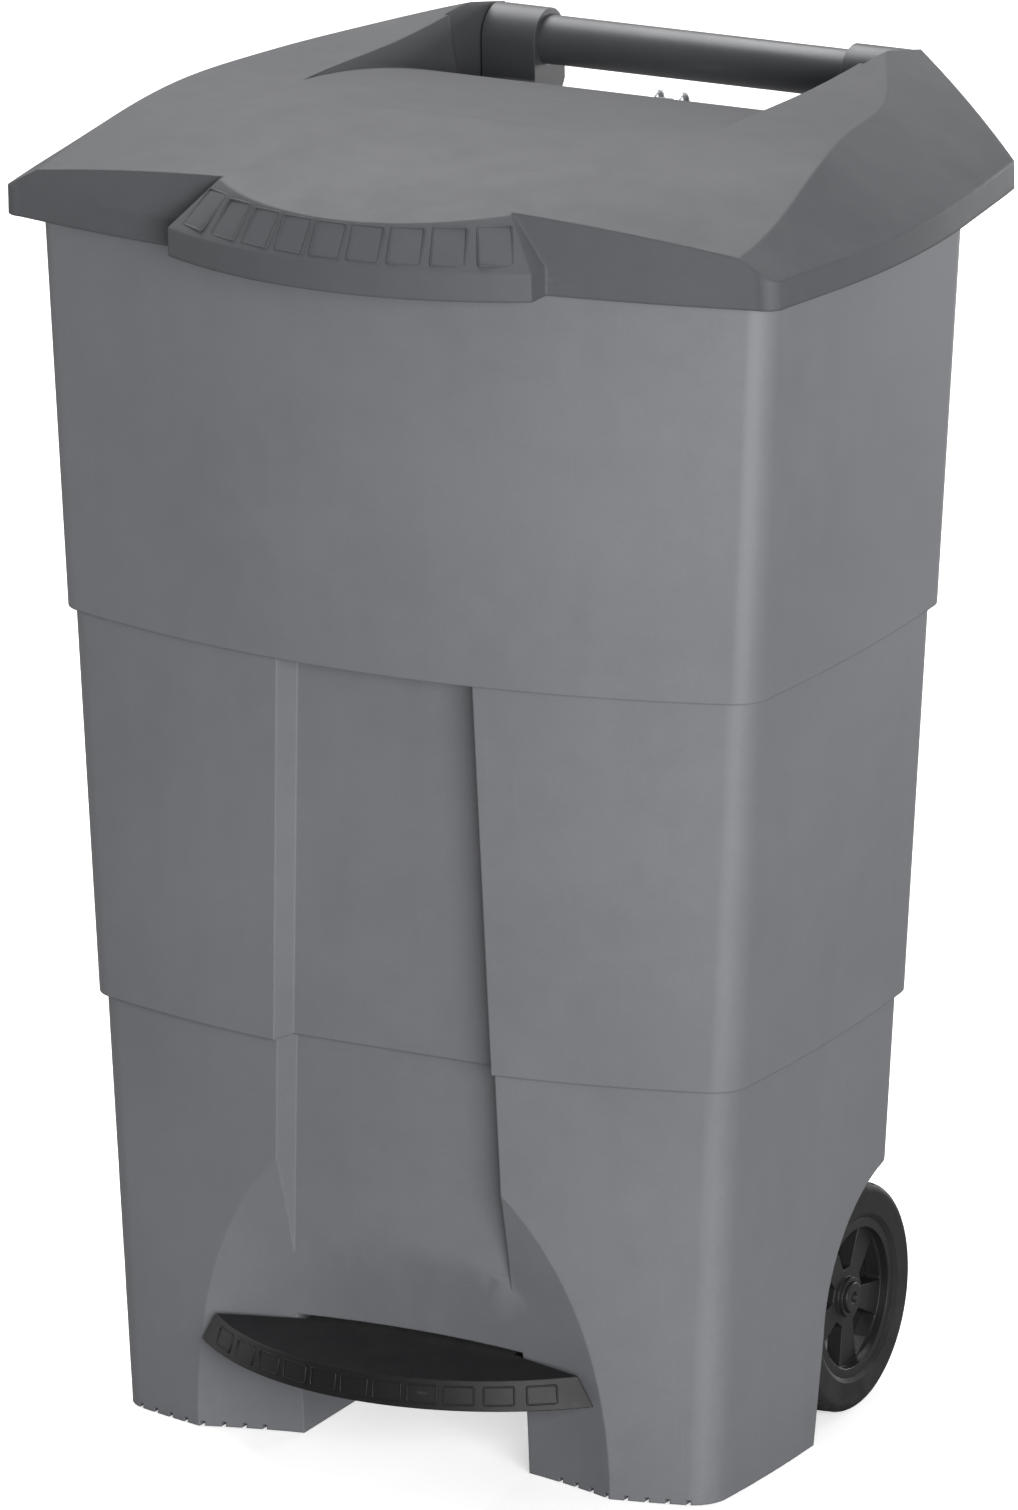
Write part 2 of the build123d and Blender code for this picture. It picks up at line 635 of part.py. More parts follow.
def make_wheel_rim():
    """Right-hand wheel body: rim ring, web with openings, and hub on the stub axle."""
    outer = WHEEL_OUTER_X - 2
    inner = WHEEL_OUTER_X - WHEEL_WIDTH + 2
    ring = x_cylinder(AXLE_Y, WHEEL_RADIUS, TYRE_INNER_RADIUS, inner, outer)
    ring -= x_cylinder(AXLE_Y, WHEEL_RADIUS, RIM_INNER_RADIUS, inner - 1, outer + 1)
    web_outer = outer - 6
    web = x_cylinder(AXLE_Y, WHEEL_RADIUS, RIM_INNER_RADIUS + 1, web_outer - SPOKE_THICKNESS,
                     web_outer)
    for index in range(SPOKE_COUNT):
        turn = 90 + index * 360 / SPOKE_COUNT
        face = Plane(origin=(web_outer + 1, AXLE_Y, WHEEL_RADIUS), x_dir=(0, 1, 0),
                     z_dir=(1, 0, 0)) * (Rot(0, 0, turn) * spoke_opening())
        web -= extrude(face, -SPOKE_THICKNESS - 2)
    hub = x_cylinder(AXLE_Y, WHEEL_RADIUS, HUB_RADIUS, inner, outer - 3)
    wheel = ring + web + hub
    wheel -= x_cylinder(AXLE_Y, WHEEL_RADIUS, AXLE_RADIUS + RUNNING_FIT, inner - 1, outer - 9)
    wheel -= x_cylinder(AXLE_Y, WHEEL_RADIUS, 10, outer - 9, outer + 1)
    return wheel


def make_tyre():
    """Right-hand tyre: crowned tread with lugs cut by shallow cross grooves."""
    inner = WHEEL_OUTER_X - WHEEL_WIDTH
    outer = WHEEL_OUTER_X
    shoulder = WHEEL_RADIUS - 7
    profile = make_face([
        Polyline((inner + 2, TYRE_INNER_RADIUS), (inner, TYRE_INNER_RADIUS + 3), (inner, shoulder)),
        ThreePointArc((inner, shoulder), (inner + 1.6, WHEEL_RADIUS - 2.6),
                      (inner + 7, WHEEL_RADIUS - 0.6)),
        ThreePointArc((inner + 7, WHEEL_RADIUS - 0.6), ((inner + outer) / 2, WHEEL_RADIUS),
                      (outer - 7, WHEEL_RADIUS - 0.6)),
        ThreePointArc((outer - 7, WHEEL_RADIUS - 0.6), (outer - 1.6, WHEEL_RADIUS - 2.6),
                      (outer, shoulder)),
        Polyline((outer, shoulder), (outer, TYRE_INNER_RADIUS + 3), (outer - 2, TYRE_INNER_RADIUS),
                 (inner + 2, TYRE_INNER_RADIUS)),
    ])
    tyre = revolve(Plane.XY * profile, Axis.X)
    grooves = []
    for index in range(TREAD_LUGS):
        for x, shift in ((inner, 0.0), (outer, 0.5)):
            angle = (index + shift) * 360 / TREAD_LUGS
            cut = Pos(x, 0, WHEEL_RADIUS) * Box(16, 3.0, 2 * TREAD_DEPTH)
            grooves.append(Rot(angle, 0, 0) * cut)
    tyre = tyre - grooves
    return Pos(0, AXLE_Y, WHEEL_RADIUS) * tyre


def make_axle():
    """Right-hand stub axle, held in the tub's two ribs."""
    start = AXLE_INNER_RIB_X - 3
    end = WHEEL_OUTER_X - 2 - 9 + 3
    axle = x_cylinder(AXLE_Y, WHEEL_RADIUS, AXLE_RADIUS, start, end)
    return chamfer(axle.edges(), 0.8)


def make_spacer():
    """Right-hand spacer between the outer rib and the hub."""
    start = AXLE_OUTER_RIB_X + AXLE_RIB_THICKNESS
    end = WHEEL_OUTER_X - WHEEL_WIDTH + 2 - 0.5
    tube = x_cylinder(AXLE_Y, WHEEL_RADIUS, AXLE_RADIUS + 4, start, end)
    return tube - x_cylinder(AXLE_Y, WHEEL_RADIUS, AXLE_RADIUS + SEAT_FIT, start - 1, end + 1)


def make_axle_clip():
    """Right-hand push-on washer that keeps the wheel on its axle."""
    start = WHEEL_OUTER_X - 2 - 9 + 0.5
    washer = x_cylinder(AXLE_Y, WHEEL_RADIUS, 9.5, start, start + 1.5)
    return washer - x_cylinder(AXLE_Y, WHEEL_RADIUS, AXLE_RADIUS, start - 1, start + 3)


def make_hub_cap():
    """Right-hand cap in the hub's mouth, with a small dimple."""
    end = WHEEL_OUTER_X - 3
    cap = x_cylinder(AXLE_Y, WHEEL_RADIUS, 10 - SEAT_FIT, end - 3.5, end)
    cap = fillet(cap.edges().group_by(Axis.X)[-1], 1.0)
    return cap - x_cylinder(AXLE_Y, WHEEL_RADIUS, 3.6, end - 2, end + 1)


# ------------------------------------------------------------------ lift linkage

ROD_AXIS = Vector(0, math.sin(math.radians(ROD_TILT_DEG)), math.cos(math.radians(ROD_TILT_DEG)))
ROD_NORMAL = Vector(0, -math.cos(math.radians(ROD_TILT_DEG)), math.sin(math.radians(ROD_TILT_DEG)))
HALF_STROKE = LIFT_ARM * math.tan(math.radians(LID_OPEN_DEG / 2))
ROD_STROKE = 2 * HALF_STROKE
HINGE_POINT = Vector(0, HINGE_Y, HINGE_Z)
PEDAL_POINT = Vector(0, PEDAL_PIVOT_Y, PEDAL_PIVOT_Z)
TOP_PIN = HINGE_POINT + ROD_NORMAL * LIFT_ARM - ROD_AXIS * HALF_STROKE
LEVER_REACH = -(TOP_PIN - PEDAL_POINT).dot(ROD_NORMAL)
LEVER_FOOT = PEDAL_POINT - ROD_NORMAL * LEVER_REACH
FOOT_PIN = LEVER_FOOT + ROD_AXIS * (LEVER_PIN_RISE - HALF_STROKE)
REST_ANGLE = math.atan2(LEVER_PIN_RISE - HALF_STROKE, LEVER_REACH)
PRESSED_ANGLE = math.atan2(LEVER_PIN_RISE + HALF_STROKE, LEVER_REACH)
PEDAL_SWING_DEG = math.degrees(PRESSED_ANGLE - REST_ANGLE)


def rod_y(z):
    """The push rod's centre line at a height, with the lid shut."""
    return TOP_PIN.Y + (z - TOP_PIN.Z) * math.tan(math.radians(ROD_TILT_DEG))


def guide_step(z):
    if z < LOWER_LEDGE_Z:
        return 0
    return 1 if z < UPPER_LEDGE_Z else 2


def guide_pad_y(z):
    return tub_rear_y(z + 16, guide_step(z)) + 2


def radial_slot(centre, toward, near, far, half_width, x_low, x_high):
    """A round-ended slot prism along x that runs outward from centre along toward."""
    start = centre + toward * near
    end = centre + toward * far
    square = Vector(0, -toward.Z, toward.Y) * half_width
    corners = [start + square, end + square, end - square, start - square]
    prism = x_prism([(p.Y, p.Z) for p in corners], x_low, x_high)
    for point in (start, end):
        prism += x_cylinder(point.Y, point.Z, half_width, x_low, x_high)
    return prism


def make_lift_lug():
    """Fork on the lid's rear wall; the rod's top pin slides in its two slots."""
    toward = (TOP_PIN - HINGE_POINT).normalized()
    near = LIFT_ARM
    far = (TOP_PIN - HINGE_POINT).length
    half = LINK_PIN_RADIUS + SLOT_PLAY
    base_y = LID_REAR_Y
    low_z, high_z = LID_RIM_Z + 1, bowl_z(LID_REAR_Y) - 4
    lug = block(-24, 24, base_y, base_y + 3, low_z, high_z)
    inner = ROD_EYE_HALF_WIDTH + SIDE_CLEARANCE
    for side in (-1, 1):
        low_x, high_x = sorted((side * inner, side * (inner + FORK_PLATE)))
        rim = radial_slot(HINGE_POINT, toward, near + SLOT_PLAY, far, half + 1.8, low_x, high_x)
        tip = HINGE_POINT + toward * far
        web = x_prism([(base_y + 1, low_z), (base_y + 1, high_z), (tip.Y, tip.Z + half + 2),
                       (tip.Y + 4, tip.Z - half)], low_x, high_x)
        plate = (rim + web) & block(-FAR, FAR, base_y, FAR, LID_RIM_Z - 20, 900)
        lug += plate
        lug -= radial_slot(HINGE_POINT, toward, near + SLOT_PLAY, far, half, low_x - 0.5,
                           high_x + 0.5)
    for x, z in lug_screw_places():
        lug -= y_cylinder(x, z, SCREW_RADIUS, base_y - 1, base_y + 4)
    return lug


def lug_screw_places():
    middle = (LID_RIM_Z + 1 + bowl_z(LID_REAR_Y) - 4) / 2
    return [(-18, middle), (18, middle)]


def make_push_rod():
    """Rod with a flat eye at each end."""
    start = FOOT_PIN
    end = TOP_PIN
    shaft = Plane(origin=start, z_dir=ROD_AXIS) * Cylinder(
        ROD_RADIUS, (end - start).length, align=(Align.CENTER, Align.CENTER, Align.MIN))
    rod = shaft
    for point in (start, end):
        rod += x_cylinder(point.Y, point.Z, ROD_EYE_RADIUS, -ROD_EYE_HALF_WIDTH, ROD_EYE_HALF_WIDTH)
    for point in (start, end):
        rod -= x_cylinder(point.Y, point.Z, LINK_PIN_RADIUS, -FAR, FAR)
    return rod


def make_link_pin(point):
    half = ROD_EYE_HALF_WIDTH + SIDE_CLEARANCE + FORK_PLATE + 1.5
    pin = x_cylinder(point.Y, point.Z, LINK_PIN_RADIUS, -half, half)
    return chamfer(pin.edges(), 0.6)


def make_guide(z):
    """Guide block on the tub's rear wall with a bore for the push rod."""
    pad = guide_pad_y(z)
    y = rod_y(z)
    half = GUIDE_HEIGHT / 2
    guide = block(-28, 28, pad, pad + 4, z - half, z + half)
    guide += block(-11, 11, pad, y + 9, z - half, z + half)
    bore = Plane(origin=(0, rod_y(z - half - 5), z - half - 5), z_dir=ROD_AXIS) * Cylinder(
        ROD_RADIUS + RUNNING_FIT, GUIDE_HEIGHT + 12, align=(Align.CENTER, Align.CENTER, Align.MIN))
    guide -= bore
    for x in (-20, 20):
        guide -= y_cylinder(x, z, SCREW_RADIUS, pad - 1, pad + 5)
    return guide


# ------------------------------------------------------------------ pedal

def pedal_outline(z, half, front_y, inset):
    """The crescent tread: bowed front, rear edges that follow the tub, tongue in the slot."""
    apex, factor = dish_curve(PEDAL_LOW_Z)
    tip_y = apex - PEDAL_HALF_WIDTH ** 2 / factor - PEDAL_BODY_GAP - inset
    tongue = PEDAL_TONGUE_HALF_WIDTH - inset
    root_y = apex - tongue ** 2 / factor - PEDAL_BODY_GAP - inset
    half -= 3 * inset
    tip_y -= 0.6 * inset
    edges = [
        ThreePointArc((-half, tip_y), (0, front_y + inset), (half, tip_y)),
        Polyline((half, tip_y), (tongue, root_y), (tongue, PEDAL_TONGUE_Y - inset),
                 (-tongue, PEDAL_TONGUE_Y - inset), (-tongue, root_y), (-half, tip_y)),
    ]
    return Pos(0, 0, z) * make_face(edges)


def make_pedal_tread():
    """Moulded tread, open underneath."""
    top_half = PEDAL_HALF_WIDTH - 11
    tread = loft([pedal_outline(PEDAL_LOW_Z, PEDAL_HALF_WIDTH, PEDAL_FRONT_Y, 0),
                  pedal_outline(PEDAL_TOP_Z, top_half, PEDAL_FRONT_Y + 3, 0)], ruled=True)
    hollow = loft([pedal_outline(PEDAL_LOW_Z - 1, PEDAL_HALF_WIDTH, PEDAL_FRONT_Y, PEDAL_WALL),
                   pedal_outline(PEDAL_TOP_Z - PEDAL_WALL, top_half, PEDAL_FRONT_Y + 3,
                                 PEDAL_WALL)], ruled=True)
    hollow += block(-PEDAL_TONGUE_HALF_WIDTH + PEDAL_WALL, PEDAL_TONGUE_HALF_WIDTH - PEDAL_WALL,
                    PEDAL_TONGUE_Y - 10, PEDAL_TONGUE_Y + 1, PEDAL_LOW_Z - 1,
                    PEDAL_TOP_Z - PEDAL_WALL)
    tread -= hollow
    for x, y in pedal_screw_places():
        tread -= Pos(x, y, PEDAL_TOP_Z - 10) * Cylinder(SCREW_RADIUS + SCREW_CLEARANCE, 16.2)
    return tread


def pedal_screw_places():
    return [(-22, -176), (22, -176), (-22, -140), (22, -140)]


def make_pedal_lever():
    """Steel lever: plate under the tread, hub on the pedal's axle, slotted rear arm."""
    half = LEVER_THICKNESS / 2
    plate_top = PEDAL_TOP_Z - PEDAL_WALL
    plate = block(-32, 32, PEDAL_FRONT_Y + 25, PEDAL_TONGUE_Y - 12, plate_top - 5, plate_top)
    y, z = PEDAL_PIVOT_Y, PEDAL_PIVOT_Z
    front = [(PEDAL_FRONT_Y + 30, plate_top - 9), (PEDAL_FRONT_Y + 30, plate_top - 3),
             (PEDAL_TONGUE_Y - 12, plate_top - 3), (y, z + 9), (y, z - 9),
             (PEDAL_TONGUE_Y - 12, plate_top - 18)]
    toward = (FOOT_PIN - PEDAL_POINT).normalized()
    square = Vector(0, -toward.Z, toward.Y)
    near = LEVER_REACH
    far = LEVER_REACH / math.cos(PRESSED_ANGLE)
    slot_half = LINK_PIN_RADIUS + LEVER_SLOT_PLAY
    depth = LEVER_DEPTH / 2
    lever = plate + x_prism(front, -half, half)
    corners = [PEDAL_POINT + square * 9, PEDAL_POINT + toward * (near - 20) + square * depth,
               PEDAL_POINT + toward * (near - 20) - square * depth, PEDAL_POINT - square * 9]
    lever += x_prism([(p.Y, p.Z) for p in corners], -half, half)
    inner = ROD_EYE_HALF_WIDTH + SIDE_CLEARANCE
    outer = inner + FORK_PLATE
    head = radial_slot(PEDAL_POINT, toward, near - 24, near - 18, depth, -outer, outer)
    lever += head
    for side in (-1, 1):
        low_x, high_x = sorted((side * inner, side * outer))
        lever += radial_slot(PEDAL_POINT, toward, near - 16, far, slot_half + 3.2, low_x, high_x)
    lever -= radial_slot(PEDAL_POINT, toward, near, far, slot_half, -outer - 1, outer + 1)
    hub = x_cylinder(y, z, LEVER_HUB_RADIUS, -LEVER_HUB_HALF_LENGTH, LEVER_HUB_HALF_LENGTH)
    lever += hub
    lever -= x_cylinder(y, z, PEDAL_AXLE_RADIUS + RUNNING_FIT, -60, 60)
    for x, y in pedal_screw_places():
        lever -= Pos(x, y, plate_top - 4) * Cylinder(SCREW_RADIUS + SCREW_CLEARANCE, 12)
    return lever


def make_pedal_screws():
    screws = []
    under = PEDAL_TOP_Z - PEDAL_WALL - 5
    for x, y in pedal_screw_places():
        head = Pos(x, y, under - SCREW_HEAD_HEIGHT / 2) * Cylinder(SCREW_HEAD_RADIUS, SCREW_HEAD_HEIGHT)
        shank = Pos(x, y, under) * Cylinder(
            SCREW_RADIUS, PEDAL_SCREW_LENGTH, align=(Align.CENTER, Align.CENTER, Align.MIN))
        screws.append(head + shank)
    return Compound(children=screws)


def make_pedal_axle():
    end = LEVER_HUB_HALF_LENGTH + CHEEK_GAP + CHEEK_THICKNESS + 4
    axle = x_cylinder(PEDAL_PIVOT_Y, PEDAL_PIVOT_Z, PEDAL_AXLE_RADIUS, -end, end)
    return chamfer(axle.edges(), 0.6)


def make_pedal_clips():
    clips = []
    start = LEVER_HUB_HALF_LENGTH + CHEEK_GAP + CHEEK_THICKNESS
    for side in (-1, 1):
        low_x, high_x = sorted((side * (start + 0.3), side * (start + 1.8)))
        clip = x_cylinder(PEDAL_PIVOT_Y, PEDAL_PIVOT_Z, 9, low_x, high_x)
        clip -= x_cylinder(PEDAL_PIVOT_Y, PEDAL_PIVOT_Z, PEDAL_AXLE_RADIUS, low_x - 1, high_x + 1)
        clips.append(clip)
    return Compound(children=clips)


def make_screw_sets():
    """Screws of the brackets, the rod guides and the lift lug."""
    bracket = []
    for x, z in bracket_screw_places():
        for side in (-1, 1):
            bracket.append(y_screw(side * x, z, BRACKET_PAD_Y + 8, 8.0))
    guides = []
    for z in GUIDE_HEIGHTS:
        for x in (-20, 20):
            guides.append(y_screw(x, z, guide_pad_y(z) + 4, 4.0))
    lug = [y_screw(x, z, LID_REAR_Y + 3, 3.0) for x, z in lug_screw_places()]
    return {
        "bracket_screws": Compound(children=bracket),
        "guide_screws": Compound(children=guides),
        "lug_screws": Compound(children=lug),
    }


def make_all():
    parts = {
        "tub": make_tub(),
        "lid": make_lid(),
        "lid_buffers": make_buffers(),
        "handle_tube": make_handle(),
        "lift_lug": make_lift_lug(),
        "push_rod": make_push_rod(),
        "rod_top_pin": make_link_pin(TOP_PIN),
        "rod_foot_pin": make_link_pin(FOOT_PIN),
        "rod_guide_lower": make_guide(GUIDE_HEIGHTS[0]),
        "rod_guide_upper": make_guide(GUIDE_HEIGHTS[1]),
        "pedal_tread": make_pedal_tread(),
        "pedal_lever": make_pedal_lever(),
        "pedal_screws": make_pedal_screws(),
        "pedal_axle": make_pedal_axle(),
        "pedal_axle_clips": make_pedal_clips(),
    }
    parts.update(make_screw_sets())
    pairs = {
        "handle_bracket": make_bracket(),
        "hinge_pin": make_hinge_pin(),
        "wheel_rim": make_wheel_rim(),
        "tyre": make_tyre(),
        "stub_axle": make_axle(),
        "axle_spacer": make_spacer(),
        "axle_clip": make_axle_clip(),
        "hub_cap": make_hub_cap(),
    }
    for name, shape in pairs.items():
        for side, piece in both_sides(shape).items():
            parts[name + "_" + side] = piece
    return parts


if __name__ == "__main__":
    os.makedirs("parts", exist_ok=True)
    for node, solid in make_all().items():
        save(node, solid)
    print("rod stroke", round(ROD_STROKE, 3), "pedal swing", round(PEDAL_SWING_DEG, 3))
    print("hinge", place(Pos(HINGE_POINT)).position, "pedal", place(Pos(PEDAL_POINT)).position)
    print("rod axis", ROD_AXIS, "axle y", AXLE_Y - Y_MIDDLE)
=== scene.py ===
import json
import math
import random

import bmesh
import bpy
from mathutils import Matrix, Vector
from mathutils.bvhtree import BVHTree


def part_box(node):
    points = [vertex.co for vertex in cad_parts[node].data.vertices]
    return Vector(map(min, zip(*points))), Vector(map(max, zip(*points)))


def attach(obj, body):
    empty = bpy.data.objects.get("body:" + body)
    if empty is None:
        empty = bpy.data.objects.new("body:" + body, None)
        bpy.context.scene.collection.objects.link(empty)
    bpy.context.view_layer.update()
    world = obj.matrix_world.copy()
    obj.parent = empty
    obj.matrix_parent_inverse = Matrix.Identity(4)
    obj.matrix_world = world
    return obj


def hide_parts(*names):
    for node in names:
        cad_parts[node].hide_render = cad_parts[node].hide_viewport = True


# Grey pedal bin on two wheels: tub, lid, handle, pedal, push rod and wheels.
# All sizes are in metres.

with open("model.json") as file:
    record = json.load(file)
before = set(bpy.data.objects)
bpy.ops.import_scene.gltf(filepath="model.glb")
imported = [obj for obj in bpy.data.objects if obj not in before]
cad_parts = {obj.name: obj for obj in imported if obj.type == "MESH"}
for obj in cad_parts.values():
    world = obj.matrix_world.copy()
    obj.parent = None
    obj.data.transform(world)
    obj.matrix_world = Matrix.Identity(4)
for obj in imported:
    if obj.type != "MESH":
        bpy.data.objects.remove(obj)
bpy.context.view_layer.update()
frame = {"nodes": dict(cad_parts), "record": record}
NODES = frame["nodes"]
PART_BODY = {node: body for body, nodes in frame["record"]["behaviour"]["bodies"].items()
             for node in nodes}
SLOT_OF = {entry["node"]: entry["material_slot"] for entry in frame["record"]["subparts"]}


# ------------------------------------------------------------------ small helpers

def put(tree, kind, settings=None, **inputs):
    """Adds a node; inputs are given by socket name, or as i0, i1 ... by place."""
    node = tree.nodes.new(kind)
    for key, value in (settings or {}).items():
        setattr(node, key, value)
    for key, value in inputs.items():
        by_place = key[0] == "i" and key[1:].isdigit()
        socket = node.inputs[int(key[1:])] if by_place else node.inputs[key.replace("_", " ")]
        if isinstance(value, bpy.types.NodeSocket):
            tree.links.new(value, socket)
        else:
            socket.default_value = value
    return node


def maths(tree, operation, *values, clamp=False):
    inputs = {f"i{index}": value for index, value in enumerate(values)}
    settings = {"operation": operation, "use_clamp": clamp}
    return put(tree, "ShaderNodeMath", settings, **inputs).outputs[0]


def spread(tree, value, low, high, to_low=0.0, to_high=1.0):
    """Maps the range low-high to to_low-to_high, held at both ends."""
    return put(tree, "ShaderNodeMapRange", {"interpolation_type": "SMOOTHSTEP"}, Value=value,
               From_Min=low, From_Max=high, To_Min=to_low, To_Max=to_high).outputs[0]


def new_group(name, inputs, outputs):
    """An empty shader group with the given sockets: (name, type, value)."""
    group = bpy.data.node_groups.new(name, "ShaderNodeTree")
    for label, kind, value in inputs:
        socket = group.interface.new_socket(label, in_out="INPUT", socket_type=kind)
        socket.default_value = value
    for label, kind in outputs:
        group.interface.new_socket(label, in_out="OUTPUT", socket_type=kind)
    return group, put(group, "NodeGroupInput").outputs, put(group, "NodeGroupOutput")


def use(tree, group, **inputs):
    return put(tree, "ShaderNodeGroup", {"node_tree": group}, **inputs).outputs


def new_object(name, data):
    """An object in the scene's own collection."""
    obj = bpy.data.objects.new(name, data)
    bpy.context.scene.collection.objects.link(obj)
    return obj


def evaluated_mesh(obj):
    """A plain mesh of an object with its modifiers applied."""
    return bpy.data.meshes.new_from_object(
        obj.evaluated_get(bpy.context.evaluated_depsgraph_get()))


FLOAT = "NodeSocketFloat"
VECTOR = "NodeSocketVector"


# ------------------------------------------------------------------ surface effects

def make_grain_group():
    """The fine grain that a spark-eroded mould leaves on plastic."""
    tree, given, out = new_group("moulded_grain", [("Grains per metre", FLOAT, 900.0)],
                                 [("Height", FLOAT), ("Tone", FLOAT)])
    place = put(tree, "ShaderNodeTexCoord").outputs["Object"]
    cells = put(tree, "ShaderNodeTexVoronoi", {"feature": "SMOOTH_F1"}, Vector=place,
                Scale=given[0], Smoothness=0.6).outputs["Distance"]
    cloud = put(tree, "ShaderNodeTexNoise", {}, Vector=place,
                Scale=maths(tree, "MULTIPLY", given[0], 0.42), Detail=3.0,
                Roughness=0.6).outputs[0]
    height = maths(tree, "ADD", maths(tree, "MULTIPLY", cells, 0.6),
                   maths(tree, "MULTIPLY", cloud, 0.5))
    tree.links.new(height, out.inputs["Height"])
    tree.links.new(spread(tree, height, 0.3, 0.75), out.inputs["Tone"])
    return tree


def make_drift_group():
    """Slow change of tone over a moulding, with faint flow lines down its height."""
    tree, given, out = new_group("moulding_drift", [("Patches per metre", FLOAT, 5.0)],
                                 [("Tone", FLOAT), ("Flow", FLOAT)])
    place = put(tree, "ShaderNodeTexCoord").outputs["Object"]
    broad = put(tree, "ShaderNodeTexNoise", {}, Vector=place, Scale=given[0], Detail=2.0,
                Roughness=0.5).outputs[0]
    fine = put(tree, "ShaderNodeTexNoise", {}, Vector=place,
               Scale=maths(tree, "MULTIPLY", given[0], 9.0), Detail=4.0,
               Roughness=0.65).outputs[0]
    tone = maths(tree, "ADD", maths(tree, "MULTIPLY", broad, 0.65),
                 maths(tree, "MULTIPLY", fine, 0.35))
    tall = put(tree, "ShaderNodeMapping", {}, Vector=place, Scale=(1.0, 1.0, 0.09)).outputs[0]
    flow = put(tree, "ShaderNodeTexNoise", {}, Vector=tall, Scale=42.0, Detail=3.0,
               Distortion=0.4).outputs[0]
    tree.links.new(spread(tree, tone, 0.3, 0.7), out.inputs["Tone"])
    tree.links.new(spread(tree, flow, 0.35, 0.7), out.inputs["Flow"])
    return tree


def make_edge_group():
    """Soft, slightly rubbed edges: a rounded normal and a mask of where it differs."""
    tree, given, out = new_group("rubbed_edges", [("Radius", FLOAT, 0.001),
                                                  ("Wear", FLOAT, 1.0)],
                                 [("Normal", VECTOR), ("Mask", FLOAT)])
    rounded = put(tree, "ShaderNodeBevel", {"samples": 6}, Radius=given[0]).outputs[0]
    flat = put(tree, "ShaderNodeNewGeometry").outputs["Normal"]
    same = put(tree, "ShaderNodeVectorMath", {"operation": "DOT_PRODUCT"}, i0=rounded,
               i1=flat).outputs["Value"]
    away = maths(tree, "SUBTRACT", 1.0, same)
    place = put(tree, "ShaderNodeTexCoord").outputs["Object"]
    broken = put(tree, "ShaderNodeTexNoise", {}, Vector=place, Scale=55.0, Detail=5.0,
                 Roughness=0.7).outputs[0]
    ragged = spread(tree, broken, 0.35, 0.72)
    mask = maths(tree, "MULTIPLY", spread(tree, away, 0.02, 0.3), ragged)
    mask = maths(tree, "MULTIPLY", mask, given[1], clamp=True)
    tree.links.new(rounded, out.inputs["Normal"])
    tree.links.new(mask, out.inputs["Mask"])
    return tree


def make_dust_group():
    """Fine dust on faces that look up, and a little grime near the floor."""
    tree, given, out = new_group("settled_dust", [("Amount", FLOAT, 0.3),
                                                  ("Grime height", FLOAT, 0.12)],
                                 [("Dust", FLOAT), ("Grime", FLOAT)])
    coords = put(tree, "ShaderNodeTexCoord").outputs
    up = put(tree, "ShaderNodeSeparateXYZ", {}, Vector=coords["Normal"]).outputs["Z"]
    level = put(tree, "ShaderNodeSeparateXYZ", {}, Vector=coords["Object"]).outputs["Z"]
    speck = put(tree, "ShaderNodeTexNoise", {}, Vector=coords["Object"], Scale=38.0,
                Detail=7.0, Roughness=0.72).outputs[0]
    dust = maths(tree, "MULTIPLY", spread(tree, up, 0.35, 1.0), spread(tree, speck, 0.35, 0.8))
    low = spread(tree, level, 0.0, given[1], 1.0, 0.0)
    grime = maths(tree, "MULTIPLY", low, spread(tree, speck, 0.38, 0.7))
    tree.links.new(maths(tree, "MULTIPLY", dust, given[0], clamp=True), out.inputs["Dust"])
    tree.links.new(maths(tree, "MULTIPLY", grime, given[0], clamp=True), out.inputs["Grime"])
    return tree


def make_scuff_group():
    """Hair-fine scratches in two directions."""
    tree, given, out = new_group("fine_scuffs", [("Amount", FLOAT, 0.3)], [("Mask", FLOAT)])
    place = put(tree, "ShaderNodeTexCoord").outputs["Object"]
    total = None
    for turn, stretch in ((0.5, (1.0, 26.0, 26.0)), (1.9, (30.0, 30.0, 1.3))):
        lie = put(tree, "ShaderNodeMapping", {}, Vector=place, Rotation=(turn, turn * 0.6, turn),
                  Scale=stretch).outputs[0]
        lines = put(tree, "ShaderNodeTexNoise", {}, Vector=lie, Scale=11.0, Detail=2.0,
                    Distortion=0.3).outputs[0]
        thin = spread(tree, lines, 0.69, 0.74)
        total = thin if total is None else maths(tree, "MAXIMUM", total, thin)
    where = put(tree, "ShaderNodeTexNoise", {}, Vector=place, Scale=7.0, Detail=2.0).outputs[0]
    mask = maths(tree, "MULTIPLY", total, spread(tree, where, 0.45, 0.7))
    tree.links.new(maths(tree, "MULTIPLY", mask, given[0], clamp=True), out.inputs["Mask"])
    return tree


GRAIN = make_grain_group()
DRIFT = make_drift_group()
EDGES = make_edge_group()
DUST = make_dust_group()
SCUFFS = make_scuff_group()


# ------------------------------------------------------------------ materials

def mix(tree, share, first, second):
    """Colours first and second mixed by a share."""
    node = put(tree, "ShaderNodeMix", {"data_type": "RGBA", "blend_type": "MIX"})
    for place, value in ((0, share), (6, first), (7, second)):
        if isinstance(value, bpy.types.NodeSocket):
            tree.links.new(value, node.inputs[place])
        else:
            node.inputs[place].default_value = value
    return node.outputs[2]


def rgb(red, green, blue):
    return (red, green, blue, 1.0)


def scaled(colour, factor):
    return (colour[0] * factor, colour[1] * factor, colour[2] * factor, 1.0)


def new_material(name):
    """An empty material; returns it and its node tree."""
    material = bpy.data.materials.new(name)
    material.use_nodes = True
    material.node_tree.nodes.clear()
    return material, material.node_tree


